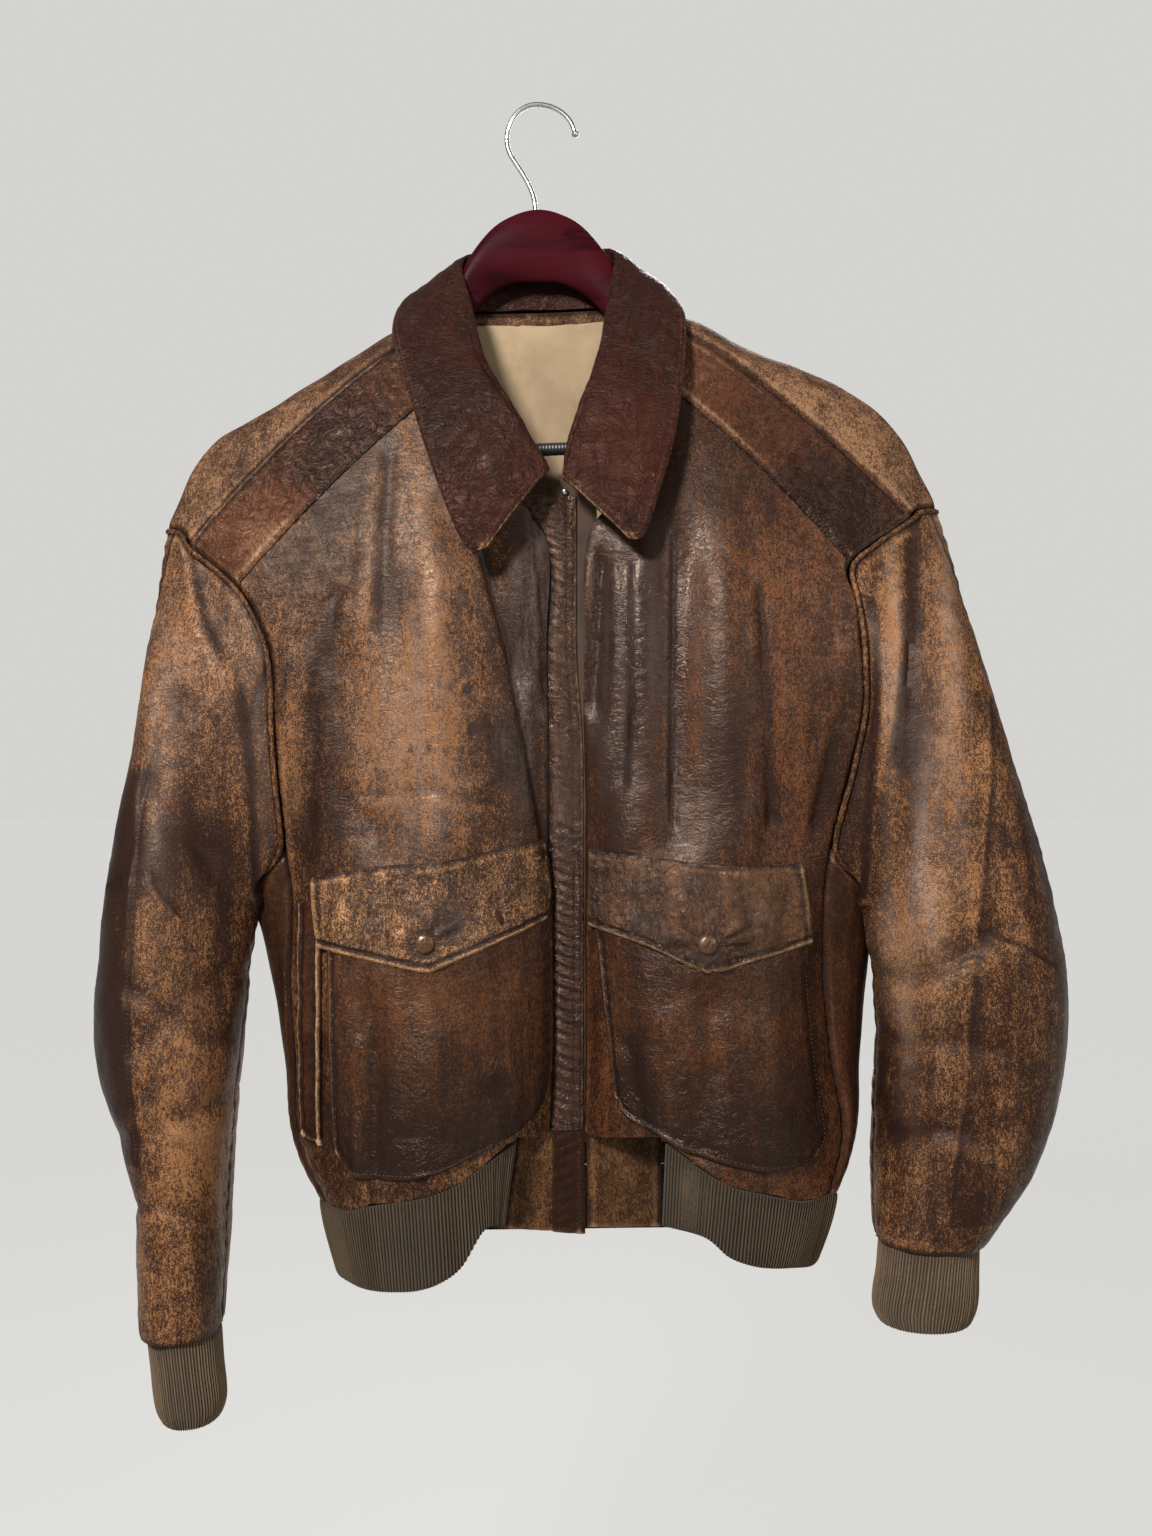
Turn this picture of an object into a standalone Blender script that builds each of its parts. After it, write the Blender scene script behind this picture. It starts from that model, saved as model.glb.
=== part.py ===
"""A worn leather jacket on a wooden hanger, as thin cloth shells cut like the real panels.

Frame: origin in the hook's inside top, +X to the viewer's right, the front faces -Y, +Z up.
Tables are in millimetres and each row is one section, from the top of its panel down.
"Left" and "right" are the viewer's. Each panel is a grid of points on its form; what lies on
a panel is made from the same grid, moved out along the same normals.
"""
import math

import bmesh
import bpy
import numpy as np
from mathutils import Vector

MM = 0.001
SEAM_GAP = 0.3            # between neighbouring panels, and between layers
LEATHER = 1.5             # wall of a leather panel
KNIT = 2.4                # wall of the ribbed knit
COLLAR_WALL = 2.0
LINING_WALL = 0.9
LINING_GAP = 0.7          # behind the leather

# Grids. Levels are positions along a table: 1.5 is half way from its second row to its third.
FRONT_COLUMNS = 10
SIDE_COLUMNS = 4
BACK_COLUMNS = 13         # half as many as the yoke
NECK_COLUMNS = 6          # between the rows of NECKLINE
YOKE_ROWS = (0, 0.25, 0.43, 0.5, 0.57, 0.75, 1)   # the middle one runs along the ridge
UPPER_LEVELS = (0, 0.5, 1, 1.75, 2.5, 3.3, 4.2, 5.1, 6)   # of the fronts, down to the underarm
LOWER_ROWS = 9            # grid rows from the underarm to the waist seam
UNDERARM = len(UPPER_LEVELS) - 1
FRONT_LEVELS = list(UPPER_LEVELS) + [6 + 5 * i / LOWER_ROWS for i in range(1, LOWER_ROWS + 1)]
BACK_LEVELS = [0, 1, 2, 3, 4] + [4 + 4 * i / LOWER_ROWS for i in range(1, LOWER_ROWS + 1)]
SLEEVE_RINGS = 10
SLEEVE_SQUARENESS = 0.9   # of its section: 1 is an ellipse
ARMHOLE_GAP = 0.03        # start of the sleeve, as a share of the way to its first section
UNDERARM_STEP = 8.0       # between the sleeve's underside and the side panel, at the underarm
FRONT_SEAM = 1            # place in the ring of the seam down the outer side
ELBOW_RING = 6            # ring of the seam across the rear of the sleeve
CUFF_SIDES = 16
CUFF_RINGS = 4

# Fronts. outer = armhole, then side seam; inner = neckline, then front edge;
# crown = how far the middle of the section stands out; sag = how far it hangs below its ends.
# Columns: outer x, y, z; inner x, y, z; crown; sag.
FRONT_LEFT = (
    (-232, -42, -313, -94, -30, -177, 3, -8),
    (-196, -57, -343, -78, -46, -222, 4, -4),
    (-180, -62, -369, -56, -58, -254, 7, 0),
    (-172, -65, -395, -22, -62, -276, 10, 2),
    (-171, -66, -431, 8, -64, -308, 13, 2),
    (-168, -64, -471, 9, -64, -378, 18, 0),
    (-165, -58, -517, 10, -62, -444, 26, 0),
    (-160, -58, -550, 10, -61, -506, 34, 2),
    (-161, -59, -603, 12, -60, -570, 42, 4),
    (-158, -60, -655, 12, -59, -632, 47, 6),
    (-154, -62, -706, 11, -57, -678, 49, 8),
    (-134, -74, -744, 10, -56, -702, 44, 8),
)
FRONT_RIGHT = (
    (250, -50, -295, 99, -30, -165, 3, -8),
    (207, -62, -328, 93, -46, -211, 4, -4),
    (212, -66, -356, 84, -56, -252, 7, 0),
    (214, -69, -384, 58, -61, -282, 10, 2),
    (216, -70, -417, 35, -63, -312, 13, 2),
    (208, -68, -459, 34, -63, -378, 18, 0),
    (195, -60, -515, 33, -61, -444, 24, 0),
    (190, -60, -556, 34, -60, -506, 32, 2),
    (190, -60, -603, 34, -59, -570, 40, 4),
    (194, -61, -652, 34, -58, -632, 45, 6),
    (202, -63, -702, 34, -56, -678, 47, 8),
    (190, -76, -738, 33, -55, -702, 43, 6),
)
# Side panels: the silhouette point of each section from the underarm down; their front edge is
# the front's outer edge and their rear edge is the back's.
# Columns: x, y, z.
SIDE_LEFT = (
    (-193, -40, -546), (-184, -38, -568), (-175, -37, -612),
    (-167, -38, -658), (-159, -42, -712), (-141, -48, -747),
)
SIDE_RIGHT = (
    (226, -42, -548), (223, -39, -572), (220, -38, -612),
    (217, -39, -658), (213, -43, -708), (198, -50, -743),
)
# Back: left and right edges of each section, from the yoke seam down.
# Columns: left x, y, z; right x, y, z; crown; sag.
BACK = (
    (-244, -4, -344, 266, -4, -330, 12, -52),
    (-222, 2, -394, 246, 2, -380, 9, -26),
    (-204, 2, -448, 236, 2, -440, 8, -10),
    (-192, -4, -500, 226, -4, -498, 10, 0),
    (-183, -12, -532, 219, -12, -530, 16, 4),
    (-176, -14, -570, 215, -14, -570, 18, 4),
    (-165, -14, -640, 209, -14, -640, 17, 2),
    (-154, -14, -706, 203, -14, -704, 15, 2),
    (-137, -20, -744, 190, -20, -740, 18, 4),
)
# Yoke: its front seam is the top of the fronts and this neckline, its rear seam the top of the
# back, and between them it arches over this ridge, the line of the hanger's arms.
NECKLINE = (
    (-94, -30, -177), (-84, -6, -148), (-62, 9, -143), (2, 12, -141),
    (68, 9, -139), (88, -6, -141), (99, -30, -165),
)
RIDGE = (
    (-249, -30, -300), (-224, -25, -247), (-181, -19, -217), (-140, -13, -189), (-100, -8, -163),
    (-86, 4, -154), (-63, 14, -152), (3, 16, -153), (69, 14, -149), (92, 4, -148),
    (108, -8, -154), (152, -14, -178), (196, -21, -197), (240, -29, -230), (270, -34, -287),
)
NECK_START, NECK_END = 4, 10   # rows of RIDGE beside the neck

# Sleeves below the armhole: outer and inner silhouette points, front and rear reach.
# Columns: outer x, z; inner x, z; front y; rear y.
SLEEVE_LEFT = (
    (-259, -374, -199, -558, -70, 6),
    (-268, -455, -201, -574, -82, 12),
    (-282, -530, -201, -598, -92, 15),
    (-288, -592, -200, -630, -98, 14),
    (-289, -645, -200, -664, -101, 9),
    (-277, -690, -202, -700, -102, 2),
    (-260, -732, -204, -738, -104, -10),
    (-256, -780, -203, -782, -108, -24),
    (-251, -825, -204, -824, -112, -42),
)
SLEEVE_RIGHT = (
    (294, -372, 232, -560, -74, 4),
    (316, -452, 234, -578, -86, 10),
    (339, -530, 234, -604, -95, 13),
    (350, -592, 232, -636, -100, 12),
    (350, -650, 229, -672, -102, 7),
    (337, -704, 226, -708, -103, -2),
    (316, -740, 224, -742, -104, -14),
    (291, -771, 225, -769, -106, -28),
)
CUFF_LEFT = (
    (-249, -825.3, -203, -824.3, -111, -47),
    (-245, -852, -200, -852, -112, -54),
    (-243, -868, -198, -868, -112, -56),
    (-238, -880, -202, -880, -108, -60),
)
CUFF_RIGHT = (
    (290, -771.3, 226, -769.3, -106, -31),
    (288, -794, 222, -794, -108, -44),
    (287, -808, 219, -808, -108, -48),
    (282, -821, 224, -821, -104, -52),
)
# Collar: roll line and outer edge of each section, left front end to right front end. Its neck
# seam follows the necklines of the fronts and the yoke.
# Columns: roll x, y, z; edge x, y, z.
COLLAR = (
    (9, -81, -271, -30, -92, -322),
    (-7, -78, -247, -42, -93, -322),
    (-20, -71, -224, -54, -90, -300),
    (-34, -60, -202, -68, -82, -262),
    (-43, -42, -177, -82, -64, -219),
    (-53, -17, -136, -97, -36, -168),
    (-57, 0, -112, -88, -2, -136),
    (-42, 14, -102, -60, 24, -158),
    (2, 19, -98, 2, 30, -172),
    (44, 14, -99, 66, 24, -154),
    (59, 0, -106, 90, -2, -132),
    (57, -18, -130, 101, -38, -158),
    (50, -42, -176, 98, -64, -206),
    (42, -60, -206, 91, -80, -250),
    (33, -70, -230, 80, -90, -288),
    (25, -77, -256, 71, -93, -314),
    (20, -81, -277, 61, -92, -316),
)
# Folds: ends of each trough on its panel, in x and z; width of its slope and depth inwards
# (negative depth is a ridge).
# Columns: top x, z; bottom x, z; width; depth.
FOLDS = (
    (-36, -318, -14, -400, 11, 8),
    (-14, -400, 6, -512, 10, 7),
    (-66, -330, -58, -500, 18, -5),
    (-120, -400, -100, -500, 16, 4),
    (44, -330, 38, -424, 9, 6),
    (62, -345, 60, -500, 10, -4),
    (98, -320, 92, -505, 14, 5),
    (128, -360, 134, -500, 18, -5),
    (-100, -620, -98, -715, 10, 4),
    (-62, -640, -66, -720, 12, -4),
    (112, -620, 106, -710, 10, 4),
    (150, -640, 152, -715, 14, -4),
)
HEM_ROW = 8               # row of the fronts below which their sections turn up to the centre
HEM_RISE_START = 0.23     # where that turn begins, as a share of the way from the side
HEM_RISE_SHARE = 0.57
COLLAR_SEAM_STEP = 2.2    # clear of the neckline's cut edges
ROLL_HALF = 3.0           # half the width of the fold along the roll line
FALL_SWELL = 4.0          # of each leaf, between the roll line and its edge

# Pattern outlines of what lies on the fronts, in x and z, clockwise from the upper left.
POCKET_LEFT = ((-133, -540), (8, -524), (9, -600), (8, -664), (0, -688), (-12, -698),
               (-33, -706), (-60, -716), (-87, -721), (-113, -720), (-125, -708), (-128, -671))
POCKET_RIGHT = ((38, -540), (176, -540), (177, -597), (180, -640), (184, -672), (188, -698),
                (180, -712), (164, -716), (140, -715), (118, -710), (98, -705), (81, -696),
                (62, -688), (54, -674), (51, -647), (46, -607))
FLAP_LEFT = ((-143, -534), (-94, -526), (-54, -521), (3, -509), (6, -526), (8, -547), (6, -562),
             (-29, -577), (-58, -589), (-68, -592), (-105, -585), (-138, -579), (-141, -562))
FLAP_RIGHT = ((38, -515), (74, -520), (111, -525), (173, -525), (177, -553), (179, -577),
              (149, -584), (116, -592), (105, -591), (74, -577), (38, -566))
WELT_LEFT = ((-153, -552), (-137, -546), (-136, -620), (-136, -706), (-150, -702), (-152, -640))
CUT_NEAR, CUT_FAR = -260, 60
POCKET_OUT = LEATHER + SEAM_GAP
FLAP_OUT = POCKET_OUT + LEATHER + SEAM_GAP

# Centre front and waist.
TAB_LEFT = (((-11.3, -64, -703.0), (32.6, -57, -702.6)), ((-20.5, -57, -767), (33.3, -52, -772)))
TAB_RIGHT = (((34.2, -57, -702.6), (83.5, -61, -706.6)), ((34.6, -52, -768), (84.0, -53, -767)))
TAB_CELLS = 3
RIB_START, RIB_END = -12.2, 84.5   # x of the knit's ends at the waist seam
RIB_HEIGHT = 54
RIB_ROWS = 3
RIB_ROUND_START = 120              # x from the middle where the knit's lower edge turns up
RIB_ROUND_REACH = 55
RIB_ROUND_RISE = 14
RIB_ROUND_IN = 7                   # and how far it draws in there
RIB_PULL = 0.035                   # how far the knit draws in, as a share of its reach
RIB_TAB_SLANT = 9
PLACKET_TOP = 5                    # grid row of the front where the placket begins
PLACKET_CELLS = 3
PLACKET_EDGE = ((27, -300), (27, -390), (31, -440), (31.8, -520), (31.6, -712))  # x by z
PLACKET_BOW = 2.0
ZIP_TAPE = (19, 41)                # x of its edges
ZIP_TAPE_WALL = 1.0
TAPE_TOP = (14, 36)                # x of its edges at its top, between the collar's ends
TAPE_TOP_Y = -62
TAPE_TOP_Z = -262
KNIT_DROP = 0.6           # below the leather it is sewn to

# Hook: its wire bends round a centre below the origin, wider on the open side.
HOOK_WIRE = 3.4
HOOK_RADIUS = 24.0
HOOK_OPEN_REACH = 27.0
HOOK_STEM_REACH = 21.0
HOOK_STEM_X = -1.0
WOOD_TOP = -72.0
# Hanger. Wooden body, one end to the other: x, y and z of its top, its height and thickness.
WOOD_CENTRE = (
    (-80, -6, -160, 33, 10), (-66, -4, -147, 37, 11), (-56, -2, -127, 37, 12), (-48, -1, -107, 43, 12),
    (-32, 0, -86, 46, 12), (-16, 0, -76, 48, 12), (0, 0, -72, 51, 12), (16, 0, -75, 49, 12),
    (32, 0, -84, 47, 12), (48, -1, -103, 43, 12), (57, -2, -119, 38, 12), (67, -4, -140, 36, 11),
    (82, -6, -152, 33, 10),
)
ARM_HEIGHT, ARM_TIP_HEIGHT = 30, 20
ARM_THICKNESS = 10
ARM_CLEARANCE = 0.9       # below the cloth that rests on it
TIP_DROP = 10.0           # four times how much more at the tips
ARM_BACK = 1.5            # of the ridge line at the tips
ARM_FORWARD = -1.7        # of the ridge line at the neck
WOOD_SIDES = 12
TIP_LEVEL = 1.0           # where the left arm ends on the ridge, and the right one its mirror
BAR_RADIUS = 4.6

# Hardware. Snap caps on the flaps and a stud on the tape: x and z. Eyelets on the side panels:
# place from the front edge and down from the underarm, in grid cells.
CAP_LEFT = (-68, -574)
CAP_RIGHT = (111, -575)
CAP_PROFILE = ((6.2, 0), (6.2, 1.0), (5.2, 1.9), (2.6, 2.4))   # radius by height
STUD_PLACE = (20, -281)
STUD_PROFILE = ((2.2, 0), (2.2, 0.7), (1.6, 1.5), (0.7, 1.8))
EYELET_PLACE = (1.4, 0.42)
EYELET_PROFILE = ((1.5, 0), (3.4, 0), (3.2, 0.7), (1.8, 0.9))
TURNED_SIDES = 12


def spline(table, t):
    """The row at position t along the table, on a smooth curve through its rows."""
    rows = np.asarray(table, float)
    last = len(rows) - 1
    i = min(int(t), last - 1)
    f = t - i
    before = rows[i - 1] if i else 2 * rows[0] - rows[1]
    after = rows[i + 2] if i + 2 <= last else 2 * rows[last] - rows[last - 1]
    a, b = rows[i], rows[i + 1]
    ma, mb = (b - before) / 2, (after - a) / 2
    return ((2 * f**3 - 3 * f**2 + 1) * a + (f**3 - 2 * f**2 + f) * ma
            + (3 * f**2 - 2 * f**3) * b + (f**3 - f**2) * mb)


def arch(start, top, end, s):
    """A half ellipse from start over top to end."""
    middle = (start + end) / 2
    return middle + (start - end) / 2 * math.cos(math.pi * s) + (top - middle) * math.sin(math.pi * s)


def over_ridge(front, ridge, rear, v):
    """From the front seam up to the ridge, level over it, and down to the rear seam."""
    if v <= 0.5:
        angle = math.pi * v
        rise, reach = math.sin(angle), 1 - math.cos(angle)
        return front + (ridge - front) * np.array([reach, reach, rise])
    angle = math.pi * (v - 0.5)
    reach, drop = math.sin(angle), 1 - math.cos(angle)
    return ridge + (rear - ridge) * np.array([drop, reach, drop])


def fold_depth(x, z):
    """How far the folds push the cloth in at this place."""
    total = 0.0
    for x0, z0, x1, z1, width, depth in FOLDS:
        run, rise = x1 - x0, z1 - z0
        length = math.hypot(run, rise)
        along = ((x - x0) * run + (z - z0) * rise) / length
        across = ((x - x0) * rise - (z - z0) * run) / length
        beyond = max(-along, along - length, 0.0)
        total += depth * math.exp(-(across / width) ** 2 - (beyond / (1.5 * width)) ** 2)
    return total


def front_point(table, t, s):
    row = spline(table, t)
    outer, inner, crown, sag = row[:3], row[3:6], row[6], row[7]
    swell = math.sin(math.pi * s) ** 0.8 if 0 < s < 1 else 0.0
    point = outer + (inner - outer) * s
    rise = min(max((s - HEM_RISE_START) / HEM_RISE_SHARE, 0.0), 1.0)
    low = min(max((t - HEM_ROW) / (len(table) - 1 - HEM_ROW), 0.0), 1.0)
    point[2] += (inner[2] - outer[2]) * (rise * rise * (3 - 2 * rise) - s) * low
    point[1] -= crown * swell
    point[2] -= sag * swell
    point[1] += fold_depth(point[0], point[2]) * min(1.0, 4 * s * (1 - s) + 0.15)
    return point


def back_point(t, s):
    row = spline(BACK, t)
    left, right, crown, sag = row[:3], row[3:6], row[6], row[7]
    swell = math.sin(math.pi * s) if 0 < s < 1 else 0.0
    point = left + (right - left) * s
    point[1] += crown * swell ** 0.5
    point[2] += -sag * swell
    return point


def grid(point, rows, columns):
    return np.array([[point(t, s) for s in columns] for t in rows])


def even(count):
    return [i / count for i in range(count + 1)]


def normals_of(points, closed=False):
    """Unit normals of a grid of points, across its rows and columns."""
    down = np.gradient(points, axis=0)
    if closed:
        ring = np.concatenate([points[:, -2:-1], points, points[:, 1:2]], axis=1)
        across = np.gradient(ring, axis=1)[:, 1:-1]
    else:
        across = np.gradient(points, axis=1)
    normal = np.cross(down, across)
    return normal / np.linalg.norm(normal, axis=2, keepdims=True)


def share_seam(first, second):
    """Gives two panels one normal along their common seam, so that their edges stay parallel."""
    mean = first + second
    mean /= np.linalg.norm(mean, axis=1, keepdims=True)
    first[:] = mean
    second[:] = mean


def drawn_in(points, gaps):
    """The grid with its top, bottom, first and last edges moved inwards by these gaps."""
    moved = points.copy()
    for gap, edge, inside in zip(gaps, (np.s_[0], np.s_[-1], np.s_[:, 0], np.s_[:, -1]),
                                 (np.s_[1], np.s_[-2], np.s_[:, 1], np.s_[:, -2])):
        step = points[inside] - points[edge]
        moved[edge] += gap * step / np.linalg.norm(step, axis=-1, keepdims=True)
    return moved


def material(name, colour, roughness, metallic=0.0):
    made = bpy.data.materials.new(name)
    made.use_nodes = True
    shader = made.node_tree.nodes["Principled BSDF"]
    shader.inputs["Base Color"].default_value = (*colour, 1)
    shader.inputs["Roughness"].default_value = roughness
    shader.inputs["Metallic"].default_value = metallic
    return made


def add_object(name, mesh, finish):
    mesh.materials.append(finish)
    made = bpy.data.objects.new(name, mesh)
    bpy.context.scene.collection.objects.link(made)
    return made


def shell(name, points, normals, inside, outside, finish, closed=False):
    """A closed sheet from a grid of points, between two distances along its normals."""
    rows, columns = points.shape[:2]
    skins = [points + normals * inside, points + normals * outside]
    vertices = np.concatenate([skin.reshape(-1, 3) for skin in skins]) * MM

    def corner(layer, i, j):
        return layer * rows * columns + i * columns + j

    faces = []
    for i in range(rows - 1):
        for j in range(columns - 1):
            a, b, c, d = (i, j), (i + 1, j), (i + 1, j + 1), (i, j + 1)
            for first, second, third in ((a, b, c), (a, c, d)):
                faces.append([corner(1, *first), corner(1, *second), corner(1, *third)])
                faces.append([corner(0, *third), corner(0, *second), corner(0, *first)])
    rim = [(0, j) for j in range(columns - 1, 0, -1)]
    rim += [(i, 0) for i in range(rows - 1)]
    rim += [(rows - 1, j) for j in range(columns - 1)]
    rim += [(i, columns - 1) for i in range(rows - 1, 0, -1)]
    for here, there in zip(rim, rim[1:] + rim[:1]):
        if closed and here[1] == there[1] and here[1] in (0, columns - 1):
            continue
        faces.append([corner(0, *here), corner(0, *there), corner(1, *there)])
        faces.append([corner(0, *here), corner(1, *there), corner(1, *here)])
    mesh = bpy.data.meshes.new(name)
    mesh.from_pydata(vertices.tolist(), [], faces)
    sheet = bmesh.new()
    sheet.from_mesh(mesh)
    if closed:
        bmesh.ops.remove_doubles(sheet, verts=sheet.verts, dist=1e-6)
    bmesh.ops.recalc_face_normals(sheet, faces=sheet.faces)
    sheet.to_mesh(mesh)
    sheet.free()
    mesh.shade_smooth()
    mesh.set_sharp_from_angle(angle=math.radians(40))
    return add_object(name, mesh, finish)


def facing(normals, direction):
    """The normals, turned round if they face away from this direction."""
    return normals if (normals @ np.array(direction, float)).sum() > 0 else -normals


def make_torso():
    """Grids and shared normals of the fronts, sides, back and yoke."""
    sheets = {}
    columns = even(FRONT_COLUMNS)
    for side, table in (("left", FRONT_LEFT), ("right", FRONT_RIGHT)):
        points = grid(lambda t, s, table=table: front_point(table, t, s), FRONT_LEVELS, columns)
        sheets["front_" + side] = [points, facing(normals_of(points), (0, -1, 0))]
    points = grid(back_point, BACK_LEVELS, even(BACK_COLUMNS))
    sheets["back"] = [points, facing(normals_of(points), (0, 1, 0))]
    for side, table, edge, out in (("left", SIDE_LEFT, 0, -1), ("right", SIDE_RIGHT, -1, 1)):
        front = sheets["front_" + side][0][UNDERARM:, 0]
        rear = sheets["back"][0][4:, edge]
        outline = [spline(table, 5 * i / LOWER_ROWS) for i in range(LOWER_ROWS + 1)]
        points = np.array([[arch(a, o, b, s) for s in even(SIDE_COLUMNS)]
                           for a, o, b in zip(front, outline, rear)])
        normals = facing(normals_of(points), (out, 0, 0))
        sheets["side_" + side] = [points, normals]
        share_seam(sheets["front_" + side][1][UNDERARM:, 0], normals[:, 0])
        share_seam(sheets["back"][1][4:, edge], normals[:, -1])
    levels = [NECK_START * i / FRONT_COLUMNS for i in range(FRONT_COLUMNS)]
    levels += [NECK_START + i for i in range(NECK_COLUMNS)]
    levels += [NECK_END + 4 * i / FRONT_COLUMNS for i in range(FRONT_COLUMNS + 1)]
    ridge = [spline(RIDGE, level) for level in levels]
    neck = [np.array(row, float) for row in NECKLINE[1:-1]]
    front = [*sheets["front_left"][0][0], *neck, *sheets["front_right"][0][0][::-1]]
    top = sheets["back"][0][0]
    rear = [(top[i // 2] + top[(i + 1) // 2]) / 2 for i in range(2 * BACK_COLUMNS + 1)]
    points = np.array([[over_ridge(a, r, b, v) for a, r, b in zip(front, ridge, rear)]
                       for v in YOKE_ROWS])
    normals = facing(normals_of(points), (0, 1, 1))
    sheets["yoke"] = [points, normals]
    share_seam(sheets["front_left"][1][0], normals[0, :FRONT_COLUMNS + 1])
    share_seam(sheets["front_right"][1][0], normals[0, :-FRONT_COLUMNS - 2:-1])
    share_seam(sheets["back"][1][0], normals[-1, ::2])
    normals[-1, 1::2] = (normals[-1, :-1:2] + normals[-1, 2::2]) / 2
    return sheets


def prism(name, outline, front, rear):
    """A hidden cutter: this outline in x and z, from one depth to another."""
    sheet = bmesh.new()
    near = [sheet.verts.new(Vector((x, front, z)) * MM) for x, z in outline]
    far = [sheet.verts.new(Vector((x, rear, z)) * MM) for x, z in outline]
    sheet.faces.new(near)
    sheet.faces.new(far[::-1])
    count = len(outline)
    for i in range(count):
        j = (i + 1) % count
        sheet.faces.new((near[i], far[i], far[j], near[j]))
    bmesh.ops.recalc_face_normals(sheet, faces=sheet.faces)
    mesh = bpy.data.meshes.new(name)
    sheet.to_mesh(mesh)
    sheet.free()
    made = bpy.data.objects.new(name, mesh)
    made.hide_render = True
    made.display_type = "WIRE"
    bpy.context.scene.collection.objects.link(made)
    return made


def cut_to(piece, cutter, operation="INTERSECT"):
    cut = piece.modifiers.new(cutter.name, "BOOLEAN")
    cut.operation = operation
    cut.object = cutter


def layer_on_front(name, sheet, outline, inside, finish):
    """A piece that lies on a front: the front's own grid moved out, cut to a pattern outline."""
    points, normals = sheet
    piece = shell(name, points, normals, inside, inside + LEATHER, finish)
    cut_to(piece, prism(name + "_pattern", outline, CUT_NEAR, CUT_FAR))
    return piece


def build_torso(sheets, finishes):
    half = SEAM_GAP / 2 + 0.05
    for side in ("left", "right"):
        points, normals = sheets["front_" + side]
        shell("front_" + side, drawn_in(points, (half, half, half, half)), normals, 0, LEATHER,
              finishes["front"])
        strap = slice(0, 3)
        shell("epaulet_" + side, drawn_in(points, (2, 0, 3, 3))[strap], normals[strap],
              POCKET_OUT, POCKET_OUT + LEATHER, finishes["glossy"])
        points, normals = sheets["side_" + side]
        shell("side_" + side, drawn_in(points, (half, half, half, half)), normals, 0, LEATHER,
              finishes["side"])
    points, normals = sheets["back"]
    shell("back", drawn_in(points, (half, half, half, half)), normals, 0, LEATHER, finishes["back"])
    points, normals = sheets["yoke"]
    shell("yoke", drawn_in(points, (half, half, half, half)), normals, 0, LEATHER, finishes["back"])
    lower = slice(UNDERARM, None)
    left = [grid_part[lower] for grid_part in sheets["front_left"]]
    right = [grid_part[lower] for grid_part in sheets["front_right"]]
    layer_on_front("pocket_left", left, POCKET_LEFT, POCKET_OUT, finishes["pocket"])
    layer_on_front("pocket_right", right, POCKET_RIGHT, POCKET_OUT, finishes["pocket"])
    layer_on_front("flap_left", left, FLAP_LEFT, FLAP_OUT, finishes["flap"])
    layer_on_front("flap_right", right, FLAP_RIGHT, FLAP_OUT, finishes["flap"])
    layer_on_front("welt_left", left, WELT_LEFT, POCKET_OUT, finishes["side"])


def closed_ring_loop(sheets, side):
    """The armhole's points and their place round it: 0 over the shoulder, a half at the underarm."""
    column = 0 if side == "left" else -1
    yoke = sheets["yoke"][0][:, column]
    front = sheets["front_" + side][0][:UNDERARM + 1, 0]
    under = sheets["side_" + side][0][0]
    back = sheets["back"][0][:5, column]
    top, bottom = YOKE_ROWS.index(0.5), SIDE_COLUMNS // 2
    down = [*yoke[top::-1], *front[1:], *under[1:bottom + 1]]
    up = [*under[bottom:], *back[-2::-1], *yoke[-2:top - 1:-1]]
    points, places = [], []
    for half, base in ((down, 0.0), (up, 0.5)):
        steps = [0.0] + [float(np.linalg.norm(b - a)) for a, b in zip(half, half[1:])]
        travelled = np.cumsum(steps) / sum(steps)
        points += half[:-1]
        places += [base + distance / 2 for distance in travelled[:-1]]
    return np.array(points + points[:1]), places + [1.0]


def sleeve_grid(loop, places, table, rings):
    """Rings from the armhole loop down to the cuff seam."""
    out = math.copysign(1, table[0][0])
    sections = [loop.copy()]
    for point, place in zip(sections[0], places):
        point[0] += out * UNDERARM_STEP * math.sin(math.pi * place) ** 4
    for outer_x, outer_z, inner_x, inner_z, front_y, rear_y in table:
        centre = np.array([(outer_x + inner_x) / 2, (front_y + rear_y) / 2, (outer_z + inner_z) / 2])
        reach = np.array([(outer_x - inner_x) / 2, 0, (outer_z - inner_z) / 2])
        depth = np.array([0, (front_y - rear_y) / 2, 0])
        ring = []
        for place in places:
            c, s = math.cos(2 * math.pi * place), math.sin(2 * math.pi * place)
            round_c = math.copysign(abs(c) ** SLEEVE_SQUARENESS, c)
            round_s = math.copysign(abs(s) ** SLEEVE_SQUARENESS, s)
            ring.append(centre + reach * round_c + depth * round_s)
        sections.append(np.array(ring))
    last = len(sections) - 1
    rows = []
    for i in range(rings + 1):
        level = ARMHOLE_GAP + (last - ARMHOLE_GAP) * i / rings
        rows.append(spline(np.array(sections).reshape(last + 1, -1), level).reshape(-1, 3))
    return np.array(rows)


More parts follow.
